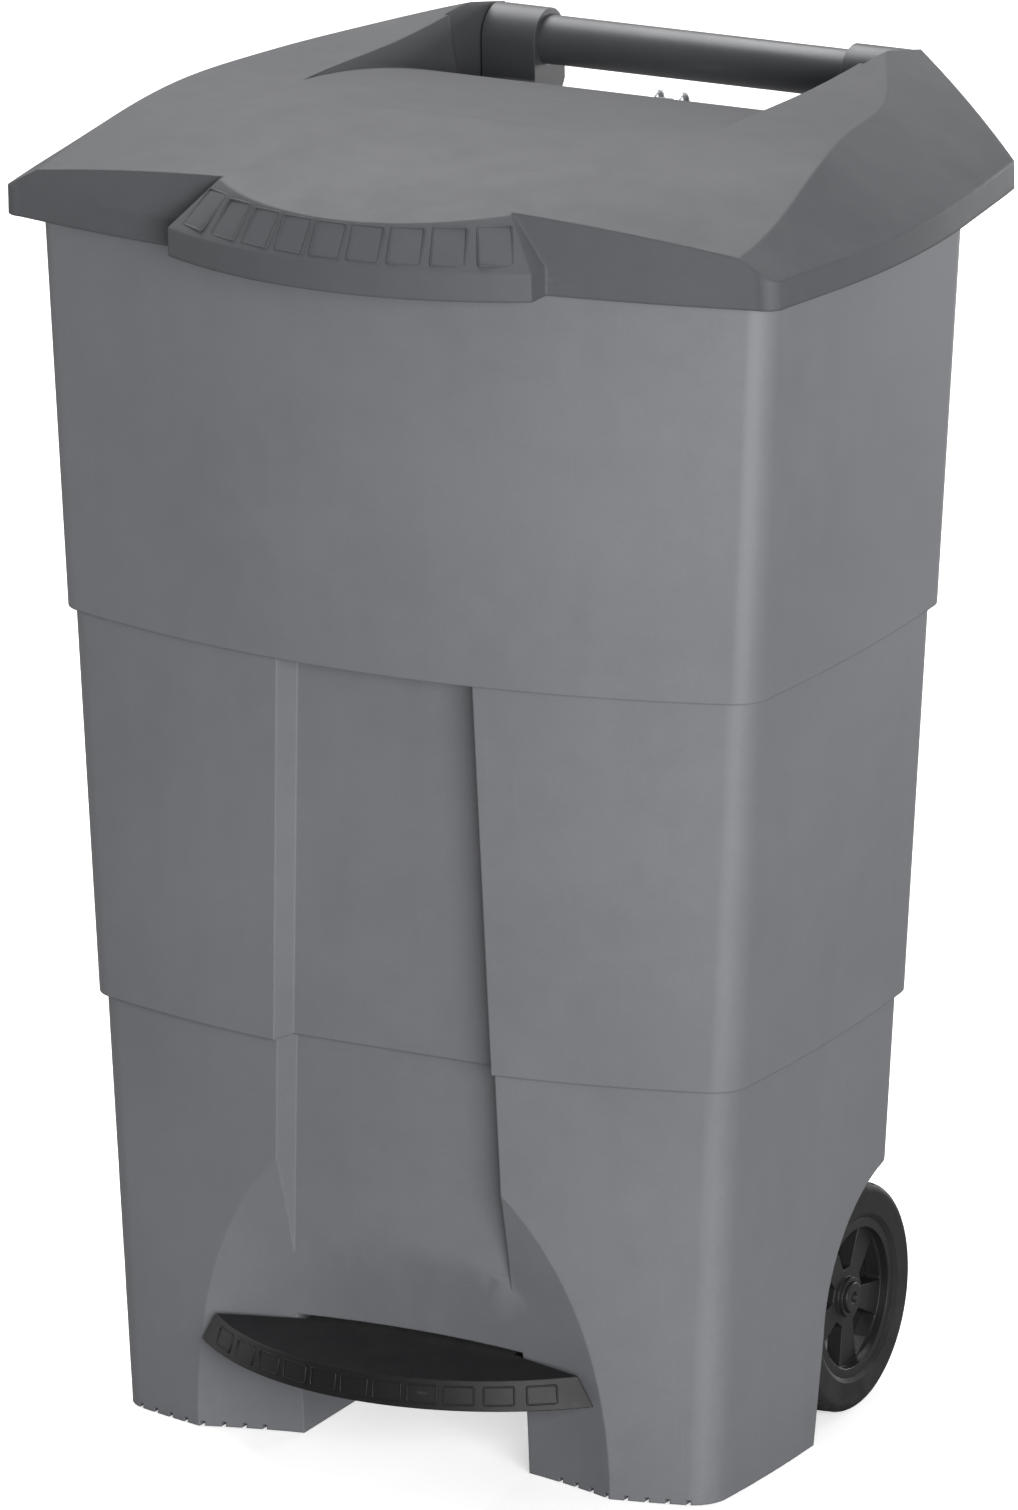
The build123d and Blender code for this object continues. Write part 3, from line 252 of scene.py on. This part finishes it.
def moulded_plastic(name, colour, rough=0.5, grains=900.0, depth=0.00006, edge=0.0012,
                    drift=0.06, wear=0.5, dust=0.25, grime=0.0, scuffs=0.3, level=0.45):
    """Coloured plastic with mould grain, slow drift of tone, rubbed edges and some dust."""
    material, tree = new_material(name)
    grain = use(tree, GRAIN, Grains_per_metre=grains)
    change = use(tree, DRIFT, Patches_per_metre=5.0)
    edges = use(tree, EDGES, Radius=edge, Wear=wear)
    settled = use(tree, DUST, Amount=dust)
    scratched = use(tree, SCUFFS, Amount=scuffs)
    base = mix(tree, change["Tone"], scaled(colour, 1 - drift), scaled(colour, 1 + drift))
    base = mix(tree, maths(tree, "MULTIPLY", change["Flow"], 0.10), base, scaled(colour, 1.22))
    base = mix(tree, maths(tree, "MULTIPLY", grain["Tone"], 0.16), base, scaled(colour, 0.72))
    pale = tuple(channel + (0.42 - channel) * 0.35 for channel in colour[:3])
    base = mix(tree, maths(tree, "MULTIPLY", edges["Mask"], 0.5), base, (*pale, 1.0))
    base = mix(tree, maths(tree, "MULTIPLY", scratched["Mask"], 0.35), base, (*pale, 1.0))
    base = mix(tree, settled["Dust"], base, rgb(0.34, 0.33, 0.31))
    base = mix(tree, maths(tree, "MULTIPLY", settled["Grime"], grime), base,
               rgb(0.10, 0.09, 0.075))
    roughness = spread(tree, change["Tone"], 0.0, 1.0, rough - 0.05, rough + 0.05)
    roughness = maths(tree, "ADD", roughness, maths(tree, "MULTIPLY", settled["Dust"], 0.5))
    roughness = maths(tree, "SUBTRACT", roughness,
                      maths(tree, "MULTIPLY", edges["Mask"], 0.10), clamp=True)
    height = maths(tree, "SUBTRACT", grain["Height"],
                   maths(tree, "MULTIPLY", scratched["Mask"], 0.5))
    bump = put(tree, "ShaderNodeBump", {}, Strength=0.55, Distance=depth, Height=height,
               Normal=edges["Normal"])
    shader = put(tree, "ShaderNodeBsdfPrincipled", {}, Base_Color=base, Roughness=roughness,
                 Normal=bump.outputs[0])
    shader.inputs["Specular IOR Level"].default_value = level
    shader.inputs["IOR"].default_value = 1.49
    put(tree, "ShaderNodeOutputMaterial", {}, Surface=shader.outputs[0])
    return material


def zinc_plate(name):
    """Bright zinc on steel: soft crystal patches, fine draw lines and a few dull spots."""
    material, tree = new_material(name)
    place = put(tree, "ShaderNodeTexCoord").outputs["Object"]
    crystal = put(tree, "ShaderNodeTexVoronoi", {}, Vector=place, Scale=240.0).outputs["Color"]
    tone = put(tree, "ShaderNodeSeparateColor", {}, Color=crystal).outputs[0]
    cloud = put(tree, "ShaderNodeTexNoise", {}, Vector=place, Scale=32.0, Detail=5.0,
                Roughness=0.7).outputs[0]
    edges = use(tree, EDGES, Radius=0.0006, Wear=0.8)
    drawn = put(tree, "ShaderNodeMapping", {}, Vector=place, Scale=(1.0, 1.0, 0.04)).outputs[0]
    lines = put(tree, "ShaderNodeTexNoise", {}, Vector=drawn, Scale=900.0, Detail=2.0).outputs[0]
    base = mix(tree, tone, rgb(0.47, 0.48, 0.50), rgb(0.60, 0.61, 0.62))
    base = mix(tree, spread(tree, cloud, 0.56, 0.75), base, rgb(0.33, 0.33, 0.32))
    base = mix(tree, edges["Mask"], base, rgb(0.72, 0.72, 0.73))
    rough = maths(tree, "ADD", spread(tree, cloud, 0.3, 0.8, 0.26, 0.5),
                  maths(tree, "MULTIPLY", tone, 0.06))
    bump = put(tree, "ShaderNodeBump", {}, Strength=0.4, Distance=0.00003, Height=lines,
               Normal=edges["Normal"])
    shader = put(tree, "ShaderNodeBsdfPrincipled", {}, Base_Color=base, Roughness=rough,
                 Normal=bump.outputs[0])
    shader.inputs["Metallic"].default_value = 1.0
    put(tree, "ShaderNodeOutputMaterial", {}, Surface=shader.outputs[0])
    return material


def tyre_rubber(name, colour):
    """Matt rubber: pores, paler worn lugs and dust in the grooves."""
    material, tree = new_material(name)
    grain = use(tree, GRAIN, Grains_per_metre=1500.0)
    change = use(tree, DRIFT, Patches_per_metre=18.0)
    edges = use(tree, EDGES, Radius=0.0007, Wear=1.0)
    settled = use(tree, DUST, Amount=0.35, Grime_height=0.15)
    base = mix(tree, change["Tone"], scaled(colour, 0.85), scaled(colour, 1.2))
    base = mix(tree, maths(tree, "MULTIPLY", grain["Tone"], 0.3), base, scaled(colour, 0.6))
    base = mix(tree, maths(tree, "MULTIPLY", edges["Mask"], 0.45), base, rgb(0.075, 0.073, 0.07))
    base = mix(tree, maths(tree, "MULTIPLY", settled["Grime"], 0.3), base,
               rgb(0.13, 0.12, 0.105))
    rough = spread(tree, change["Tone"], 0.0, 1.0, 0.66, 0.84)
    bump = put(tree, "ShaderNodeBump", {}, Strength=0.7, Distance=0.00008,
               Height=grain["Height"], Normal=edges["Normal"])
    shader = put(tree, "ShaderNodeBsdfPrincipled", {}, Base_Color=base, Roughness=rough,
                 Normal=bump.outputs[0])
    shader.inputs["Specular IOR Level"].default_value = 0.3
    put(tree, "ShaderNodeOutputMaterial", {}, Surface=shader.outputs[0])
    return material


def floor_paint(name):
    """Pale matt studio floor with a very faint unevenness."""
    material, tree = new_material(name)
    place = put(tree, "ShaderNodeTexCoord").outputs["Object"]
    cloud = put(tree, "ShaderNodeTexNoise", {}, Vector=place, Scale=1.4, Detail=3.0).outputs[0]
    base = mix(tree, cloud, rgb(0.86, 0.86, 0.86), rgb(0.90, 0.90, 0.90))
    shader = put(tree, "ShaderNodeBsdfPrincipled", {}, Base_Color=base)
    shader.inputs["Roughness"].default_value = 0.9
    shader.inputs["Specular IOR Level"].default_value = 0.1
    shader.inputs["Emission Color"].default_value = (1.0, 1.0, 1.0, 1.0)
    shader.inputs["Emission Strength"].default_value = 0.5
    low = put(tree, "ShaderNodeBsdfDiffuse", {}, Color=rgb(0.26, 0.26, 0.26))
    seen = put(tree, "ShaderNodeLightPath").outputs["Is Camera Ray"]
    both = put(tree, "ShaderNodeMixShader", {}, i0=seen, i1=low.outputs[0],
               i2=shader.outputs[0])
    put(tree, "ShaderNodeOutputMaterial", {}, Surface=both.outputs[0])
    return material


TUB_GREY = moulded_plastic("tub_grey_plastic", rgb(0.142, 0.145, 0.157), rough=0.48,
                           edge=0.0016, grime=0.35, dust=0.06)
LID_GREY = moulded_plastic("lid_grey_plastic", rgb(0.079, 0.081, 0.088), rough=0.62,
                           edge=0.0030, dust=0.04, wear=0.35, level=0.25)
HANDLE_GREY = moulded_plastic("handle_grey_plastic", rgb(0.064, 0.066, 0.072), rough=0.44,
                              edge=0.0012, dust=0.04, grains=1300.0)
PEDAL_BLACK = moulded_plastic("pedal_black_plastic", rgb(0.0062, 0.0062, 0.0068), rough=0.5,
                              edge=0.0010, grains=700.0, depth=0.0001, dust=0.025,
                              scuffs=0.5, wear=0.4, level=0.3)
WHEEL_BLACK = moulded_plastic("wheel_black_plastic", rgb(0.010, 0.010, 0.011), rough=0.46,
                              edge=0.0010, dust=0.04, grime=0.15, level=0.35)
TYRE_BLACK = tyre_rubber("tyre_black_rubber", rgb(0.009, 0.009, 0.010))
BUFFER_BLACK = tyre_rubber("buffer_black_rubber", rgb(0.018, 0.018, 0.018))
ZINC = zinc_plate("zinc_plated_steel")

FINISH = {"tub_plastic": TUB_GREY, "lid_plastic": LID_GREY, "black_plastic": WHEEL_BLACK,
          "tyre_rubber": TYRE_BLACK, "buffer_rubber": BUFFER_BLACK, "zinc_steel": ZINC}
OWN_FINISH = {"pedal_tread": PEDAL_BLACK, "handle_tube": HANDLE_GREY,
              "handle_bracket_left": HANDLE_GREY, "handle_bracket_right": HANDLE_GREY}


def finish_of(node):
    return OWN_FINISH.get(node, FINISH[SLOT_OF[node]])


def give_material(obj, material):
    obj.data.materials.clear()
    obj.data.materials.append(material)


# ------------------------------------------------------------------ finished pieces

SAME_POINT = 0.00002
FLAT_ANGLE = math.radians(0.4)


def merged_mesh(node):
    """A merged copy of a node's mesh, all smooth, for a piece that replaces it."""
    mesh = NODES[node].data.copy()
    for old in ("custom_normal", "sharp_edge", "sharp_face"):
        if old in mesh.attributes:
            mesh.attributes.remove(mesh.attributes[old])
    shape = bmesh.new()
    shape.from_mesh(mesh)
    bmesh.ops.remove_doubles(shape, verts=shape.verts, dist=SAME_POINT)
    bmesh.ops.dissolve_degenerate(shape, edges=shape.edges, dist=SAME_POINT)
    bmesh.ops.dissolve_limit(shape, angle_limit=FLAT_ANGLE, verts=shape.verts,
                             edges=shape.edges)
    for face in shape.faces:
        face.smooth = True
    shape.to_mesh(mesh)
    shape.free()
    return mesh


def rounded_copy(node, radius, crease):
    """The node's shape with its edges rounded; crease is the least angle that counts."""
    holder = new_object(node + "_holder", merged_mesh(node))
    bevel = holder.modifiers.new("round_edges", "BEVEL")
    bevel.width = radius
    bevel.segments = 3
    bevel.limit_method = "ANGLE"
    bevel.angle_limit = math.radians(crease)
    even = holder.modifiers.new("even_shading", "WEIGHTED_NORMAL")
    even.weight = 60
    mesh = evaluated_mesh(holder)
    bpy.data.objects.remove(holder)
    mesh.name = node + "_rounded"
    return mesh


def add_piece(name, mesh, body, material):
    piece = new_object(name, mesh)
    give_material(piece, material)
    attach(piece, body)
    return piece


# Edge radius and least crease angle of each moulded or formed piece.
EDGES_OF = {"tub": (0.0014, 18), "lid": (0.0020, 17), "pedal_tread": (0.0010, 22),
            "handle_bracket_left": (0.0012, 22), "handle_bracket_right": (0.0012, 22),
            "handle_tube": (0.0006, 40), "wheel_rim_left": (0.0007, 30),
            "wheel_rim_right": (0.0007, 30), "tyre_left": (0.0005, 28),
            "tyre_right": (0.0005, 28), "hub_cap_left": (0.0005, 30),
            "hub_cap_right": (0.0005, 30), "rod_guide_lower": (0.0010, 30),
            "rod_guide_upper": (0.0010, 30), "axle_spacer_left": (0.0005, 40),
            "axle_spacer_right": (0.0005, 40), "lift_lug": (0.0004, 35),
            "pedal_lever": (0.0006, 35), "lid_buffers": (0.0006, 40)}


def round_all_edges():
    for node, (radius, crease) in EDGES_OF.items():
        mesh = rounded_copy(node, radius, crease)
        piece = add_piece(node + "_rounded", mesh, PART_BODY[node], finish_of(node))
        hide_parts(node)


for node_name, node_object in NODES.items():
    give_material(node_object, finish_of(node_name))
round_all_edges()


# ------------------------------------------------------------------ raised frames and screws

def geometry_tree(name, inputs):
    """An empty geometry tree; returns it, its inputs and its output node."""
    tree = bpy.data.node_groups.new(name, "GeometryNodeTree")
    tree.interface.new_socket("Geometry", in_out="INPUT", socket_type="NodeSocketGeometry")
    for label, kind, value in inputs:
        socket = tree.interface.new_socket(label, in_out="INPUT", socket_type=kind)
        if value is not None:
            socket.default_value = value
    tree.interface.new_socket("Geometry", in_out="OUTPUT", socket_type="NodeSocketGeometry")
    return tree, put(tree, "NodeGroupInput").outputs, put(tree, "NodeGroupOutput")


def turned(tree):
    """The rotation stored on each point as the attribute turn, in radians about x, y, z."""
    stored = put(tree, "GeometryNodeInputNamedAttribute", {"data_type": "FLOAT_VECTOR"},
                 Name="turn").outputs["Attribute"]
    return put(tree, "FunctionNodeEulerToRotation", {}, Euler=stored).outputs[0]


def sized(tree):
    """The scale stored on each point as the attribute size."""
    return put(tree, "GeometryNodeInputNamedAttribute", {"data_type": "FLOAT_VECTOR"},
               Name="size").outputs["Attribute"]


def painted_tree(tree, placed, material, out):
    """Ends a tree: real copies with their material, led to the output."""
    real = put(tree, "GeometryNodeRealizeInstances", {}, Geometry=placed).outputs[0]
    painted = put(tree, "GeometryNodeSetMaterial", {}, Geometry=real,
                  Material=material).outputs[0]
    tree.links.new(painted, out.inputs[0])
    return tree


def make_frame_tree():
    """Raised rectangular frames, one on each point."""
    tree, given, out = geometry_tree("raised_frames", [
        ("Width", FLOAT, 0.016), ("Height", FLOAT, 0.015), ("Corner", FLOAT, 0.001),
        ("Bar", FLOAT, 0.0007), ("Material", "NodeSocketMaterial", None)])
    box = put(tree, "GeometryNodeCurvePrimitiveQuadrilateral", {}, Width=given["Width"],
              Height=given["Height"]).outputs[0]
    ring = put(tree, "GeometryNodeFilletCurve", {"mode": "POLY"}, Curve=box, Count=3,
               Radius=given["Corner"]).outputs[0]
    bar = put(tree, "GeometryNodeCurvePrimitiveCircle", {"mode": "RADIUS"}, Resolution=8,
              Radius=given["Bar"]).outputs[0]
    frame_mesh = put(tree, "GeometryNodeCurveToMesh", {}, Curve=ring,
                     Profile_Curve=bar).outputs[0]
    smooth = put(tree, "GeometryNodeSetShadeSmooth", {}, Geometry=frame_mesh).outputs[0]
    points = put(tree, "GeometryNodeMeshToPoints", {}, Mesh=given["Geometry"]).outputs[0]
    placed = put(tree, "GeometryNodeInstanceOnPoints", {}, Points=points, Instance=smooth,
                 Rotation=turned(tree), Scale=sized(tree)).outputs[0]
    return painted_tree(tree, placed, given["Material"], out)


def make_screw_tree():
    """A copy of one screw on each point."""
    tree, given, out = geometry_tree("screw_set", [("Screw", "NodeSocketObject", None),
                                                   ("Material", "NodeSocketMaterial", None)])
    screw = put(tree, "GeometryNodeObjectInfo", {}, Object=given["Screw"]).outputs["Geometry"]
    points = put(tree, "GeometryNodeMeshToPoints", {}, Mesh=given["Geometry"]).outputs[0]
    placed = put(tree, "GeometryNodeInstanceOnPoints", {}, Points=points, Instance=screw,
                 Rotation=turned(tree)).outputs[0]
    return painted_tree(tree, placed, given["Material"], out)


def grown_mesh(name, places, tree, heights=None, **values):
    """A plain mesh grown by a geometry tree on points: places are (point, rotation matrix).

    heights is how much taller than the shape each copy is, one number for each place.
    """
    seed_mesh = bpy.data.meshes.new(name + "_points")
    seed_mesh.from_pydata([place for place, turn in places], [], [])
    turns = seed_mesh.attributes.new("turn", "FLOAT_VECTOR", "POINT")
    sizes = seed_mesh.attributes.new("size", "FLOAT_VECTOR", "POINT")
    for index, (place, turn) in enumerate(places):
        turns.data[index].vector = turn.to_euler("XYZ")
        sizes.data[index].vector = (1.0, heights[index] if heights else 1.0, 1.0)
    holder = new_object(name + "_points", seed_mesh)
    modifier = holder.modifiers.new("grow", "NODES")
    modifier.node_group = tree
    for item in tree.interface.items_tree:
        if item.item_type == "SOCKET" and item.in_out == "INPUT" and item.name in values:
            modifier[item.identifier] = values[item.name]
    grown = evaluated_mesh(holder)
    grown.name = name
    holder.modifiers.remove(modifier)
    bpy.data.objects.remove(holder)
    return grown


def surface_of(node):
    mesh = NODES[node].data
    return BVHTree.FromPolygons([vertex.co for vertex in mesh.vertices],
                                [tuple(face.vertices) for face in mesh.polygons])


def stand_on(normal):
    """A turn whose z points along the normal and whose y climbs the face."""
    across = Vector((0, 0, 1)).cross(normal).normalized()
    climb = normal.cross(across).normalized()
    return Matrix((across, climb, normal)).transposed()


def front_places(node, spots, sink):
    """Places on a node's front face, found straight back from in front: spots are (x, z)."""
    surface = surface_of(node)
    places = []
    for x, z in spots:
        hit, normal, index, distance = surface.ray_cast(Vector((x, -1.0, z)), Vector((0, 1, 0)))
        if normal.y > 0:
            normal = -normal
        places.append((hit - normal * sink, stand_on(normal)))
    return places


FRAME_SINK = 0.0002
GRIP_PITCH = 0.0255
PEDAL_PITCH = 0.023
FRAMES = make_frame_tree()
SCREW_SET = make_screw_tree()


def frame_the_grip():
    """Nine raised frames that fill the sloped face of the lid's finger grip.

    The face grows taller from the middle to its two ends, and the frames grow with it.
    """
    low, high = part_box("lid")
    steps = range(-4, 5)
    reaches = [abs(step) / 4 for step in steps]
    spots = [(GRIP_PITCH * step, low.z + 0.0310 + 0.0012 * reach ** 2)
             for step, reach in zip(steps, reaches)]
    mesh = grown_mesh("grip_frames", front_places("lid", spots, FRAME_SINK), FRAMES,
                      heights=[1.0 + 0.24 * reach ** 2 for reach in reaches],
                      Width=0.0210, Height=0.0225, Corner=0.0010, Bar=0.0007,
                      Material=LID_GREY)
    add_piece("grip_frames", mesh, "lid", LID_GREY)


def frame_the_pedal():
    """Eleven raised frames along the front edge of the pedal."""
    low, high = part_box("pedal_tread")
    middle = (low.z + high.z) / 2
    spots = [(PEDAL_PITCH * (step - 5), middle) for step in range(11)]
    mesh = grown_mesh("pedal_frames", front_places("pedal_tread", spots, FRAME_SINK), FRAMES,
                      Width=0.019, Height=0.0115, Corner=0.0012, Bar=0.0007,
                      Material=PEDAL_BLACK)
    add_piece("pedal_frames", mesh, "pedal", PEDAL_BLACK)


SCREW_SIDES = 24
THREAD_TURNS = 6


def screw_profile(head_radius, head_height, shank_radius, shank_length):
    """Half the outline of a pan-head screw, as (radius, z) from the head's top down."""
    rows = [(0.0, head_height), (0.45, head_height * 0.98), (0.8, head_height * 0.82),
            (0.96, head_height * 0.5), (1.0, head_height * 0.15), (1.0, 0.0)]
    profile = [(share * head_radius, z) for share, z in rows]
    profile.append((shank_radius, 0.0))
    for step in range(THREAD_TURNS):
        z = -shank_length * (step + 0.5) / THREAD_TURNS
        profile.append((shank_radius, z + shank_length * 0.12 / THREAD_TURNS))
        profile.append((shank_radius * 0.86, z - shank_length * 0.3 / THREAD_TURNS))
    profile.append((shank_radius * 0.7, -shank_length))
    profile.append((0.0, -shank_length))
    return profile


def turned_mesh(name, profile, sides):
    """A closed mesh made by turning a profile of (radius, z) about z."""
    points, faces = [], []
    for radius, z in profile:
        if radius == 0.0:
            points.append([(0.0, 0.0, z)])
        else:
            points.append([(radius * math.cos(2 * math.pi * side / sides),
                            radius * math.sin(2 * math.pi * side / sides), z)
                           for side in range(sides)])
    starts = [sum(len(row) for row in points[:index]) for index in range(len(points))]
    for index in range(len(points) - 1):
        upper, lower = points[index], points[index + 1]
        for side in range(sides):
            after = (side + 1) % sides
            first = [starts[index] + (side if len(upper) > 1 else 0)]
            if len(upper) > 1:
                first.append(starts[index] + after)
            second = [starts[index + 1] + (after if len(lower) > 1 else 0)]
            if len(lower) > 1:
                second.append(starts[index + 1] + side)
            faces.append(first[::-1] + second[::-1])
    mesh = bpy.data.meshes.new(name)
    mesh.from_pydata([point for row in points for point in row], [], faces)
    shape = bmesh.new()
    shape.from_mesh(mesh)
    bmesh.ops.recalc_face_normals(shape, faces=shape.faces)
    shape.to_mesh(mesh)
    shape.free()
    return mesh


def cross_tool(head_radius, head_height):
    """Two crossed bars that cut the recess in a screw's head."""
    cross = bpy.data.meshes.new("cross")
    cutter = bmesh.new()
    for length, width in ((0.56, 0.15), (0.15, 0.56)):
        size = (2 * head_radius * length, 2 * head_radius * width, head_height)
        made = bmesh.ops.create_cube(cutter, size=1.0)
        bmesh.ops.scale(cutter, vec=size, verts=made["verts"])
        bmesh.ops.translate(cutter, vec=(0, 0, head_height * 0.95), verts=made["verts"])
    cutter.to_mesh(cross)
    cutter.free()
    return new_object("cross", cross)


def screw_shape(head_radius, head_height, shank_radius, shank_length):
    """One pan-head screw with a cross recess; its head points up z from 0."""
    profile = screw_profile(head_radius, head_height, shank_radius, shank_length)
    screw = new_object("screw", turned_mesh("screw", profile, SCREW_SIDES))
    tool = cross_tool(head_radius, head_height)
    cut = screw.modifiers.new("cross", "BOOLEAN")
    cut.operation = "DIFFERENCE"
    cut.solver = "EXACT"
    cut.use_self = True
    cut.object = tool
    finished = evaluated_mesh(screw)
    screw.modifiers.remove(cut)
    screw.data = finished
    bpy.data.objects.remove(tool)
    return screw


def islands(node):
    """The separate solids of a node, each as its lowest and highest corner."""
    shape = bmesh.new()
    shape.from_mesh(NODES[node].data)
    bmesh.ops.remove_doubles(shape, verts=shape.verts, dist=SAME_POINT)
    waiting = set(shape.verts)
    boxes = []
    while waiting:
        front = [waiting.pop()]
        group = list(front)
        while front:
            vertex = front.pop()
            for edge in vertex.link_edges:
                other = edge.other_vert(vertex)
                if other in waiting:
                    waiting.remove(other)
                    front.append(other)
                    group.append(other)
        places = [vertex.co.copy() for vertex in group]
        boxes.append((Vector([min(p[axis] for p in places) for axis in range(3)]),
                      Vector([max(p[axis] for p in places) for axis in range(3)])))
    shape.free()
    return sorted(boxes, key=lambda box: (round(box[0].x, 4), round(box[0].z, 4)))


SCREW_HEAD_HEIGHT = 0.0032


def dress_screws(node, out, head_height):
    """Detailed screws in the places of a node's plain ones; out is where the heads point."""
    boxes = islands(node)
    axis = max(range(3), key=lambda number: abs(out[number]))
    low, high = boxes[0]
    length = (high - low)[axis]
    head_radius = max((high - low)[other] for other in range(3) if other != axis) / 2
    screw = screw_shape(head_radius, head_height, head_radius / 2, length - head_height)
    way = Vector(out)
    spin = random.Random(len(boxes) * 7 + axis)
    places = []
    for low, high in boxes:
        seat = (low + high) / 2
        seat[axis] = (high[axis] if way[axis] > 0 else low[axis]) - way[axis] * head_height
        turn = way.to_track_quat("Z", "Y").to_matrix()
        places.append((seat, turn @ Matrix.Rotation(spin.uniform(0, 1.5), 3, "Z")))
    mesh = grown_mesh(node + "_set", places, SCREW_SET, Screw=screw, Material=ZINC)
    bpy.data.objects.remove(screw)
    piece = add_piece(node + "_set", mesh, PART_BODY[node], ZINC)
    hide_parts(node)


frame_the_grip()
frame_the_pedal()
for screws, heads_point in (("bracket_screws", (0, 1, 0)), ("guide_screws", (0, 1, 0)),
                            ("lug_screws", (0, 1, 0)), ("pedal_screws", (0, 0, -1))):
    dress_screws(screws, heads_point, SCREW_HEAD_HEIGHT)


# ------------------------------------------------------------------ camera, light, floor

def aim_camera():
    """A long lens, a little above the bin and to the right of its front."""
    camera_data = bpy.data.cameras.new("camera")
    camera_data.lens = 298.66
    camera_data.sensor_width = 36.0
    camera_data.clip_end = 100.0
    camera = new_object("camera", camera_data)
    heading, roll = math.radians(29.118), math.radians(-0.922)
    back = Vector((0.46478, -0.83446, 0.29608)).normalized()
    right = Vector((math.cos(heading), math.sin(heading), 0.0))
    up = back.cross(right)
    turned_right = math.cos(roll) * right + math.sin(roll) * up
    turned_up = math.cos(roll) * up - math.sin(roll) * right
    turn = Matrix((turned_right, turned_up, back)).transposed()
    place = Vector((3.6949, -6.66565, 2.7804))
    camera.matrix_world = Matrix.Translation(place) @ turn.to_4x4()
    bpy.context.scene.camera = camera


def add_light(name, place, target, width, height, power):
    """A white rectangular light, turned to face the target."""
    data = bpy.data.lights.new(name, "AREA")
    data.shape = "RECTANGLE"
    data.size = width
    data.size_y = height
    data.energy = power
    lamp = new_object(name, data)
    lamp.location = place
    lamp.rotation_mode = "QUATERNION"
    way = Vector(target) - Vector(place)
    lamp.rotation_quaternion = way.to_track_quat("-Z", "Y")


def light_studio():
    """One large light from the low right, one from above and behind, and two weak fills."""
    add_light("key_right", (2.95, -3.1, 1.15), (0, 0, 0.45), 2.8, 2.0, 255)
    add_light("back_top", (-1.3, 1.2, 3.3), (0, 0, 0.5), 2.6, 2.6, 150)
    add_light("back_fill", (0.6, 4.2, 0.7), (0, 0, 0.5), 2.5, 1.2, 120)
    add_light("left_fill", (-3.6, -0.6, 1.0), (0, 0, 0.5), 1.8, 1.4, 32)
    world = bpy.data.worlds.new("studio")
    world.use_nodes = True
    tree = world.node_tree
    background = tree.nodes["Background"]
    background.inputs[0].default_value = (1.0, 1.0, 1.0, 1.0)
    seen = put(tree, "ShaderNodeLightPath").outputs["Is Camera Ray"]
    tree.links.new(maths(tree, "MULTIPLY_ADD", seen, 0.75, 0.2), background.inputs[1])
    bpy.context.scene.world = world
    bpy.context.scene.view_settings.view_transform = "Standard"


def lay_floor():
    """A plain floor, 0.4 mm below the feet so that no two faces lie in one plane."""
    mesh = bpy.data.meshes.new("studio_floor")
    half = 30.0
    level = -0.0004
    corners = [(-half, -half, level), (half, -half, level), (half, half, level),
               (-half, half, level)]
    mesh.from_pydata(corners, [], [(0, 1, 2, 3)])
    floor = new_object("studio_floor", mesh)
    give_material(floor, floor_paint("pale_floor"))


aim_camera()
light_studio()
lay_floor()
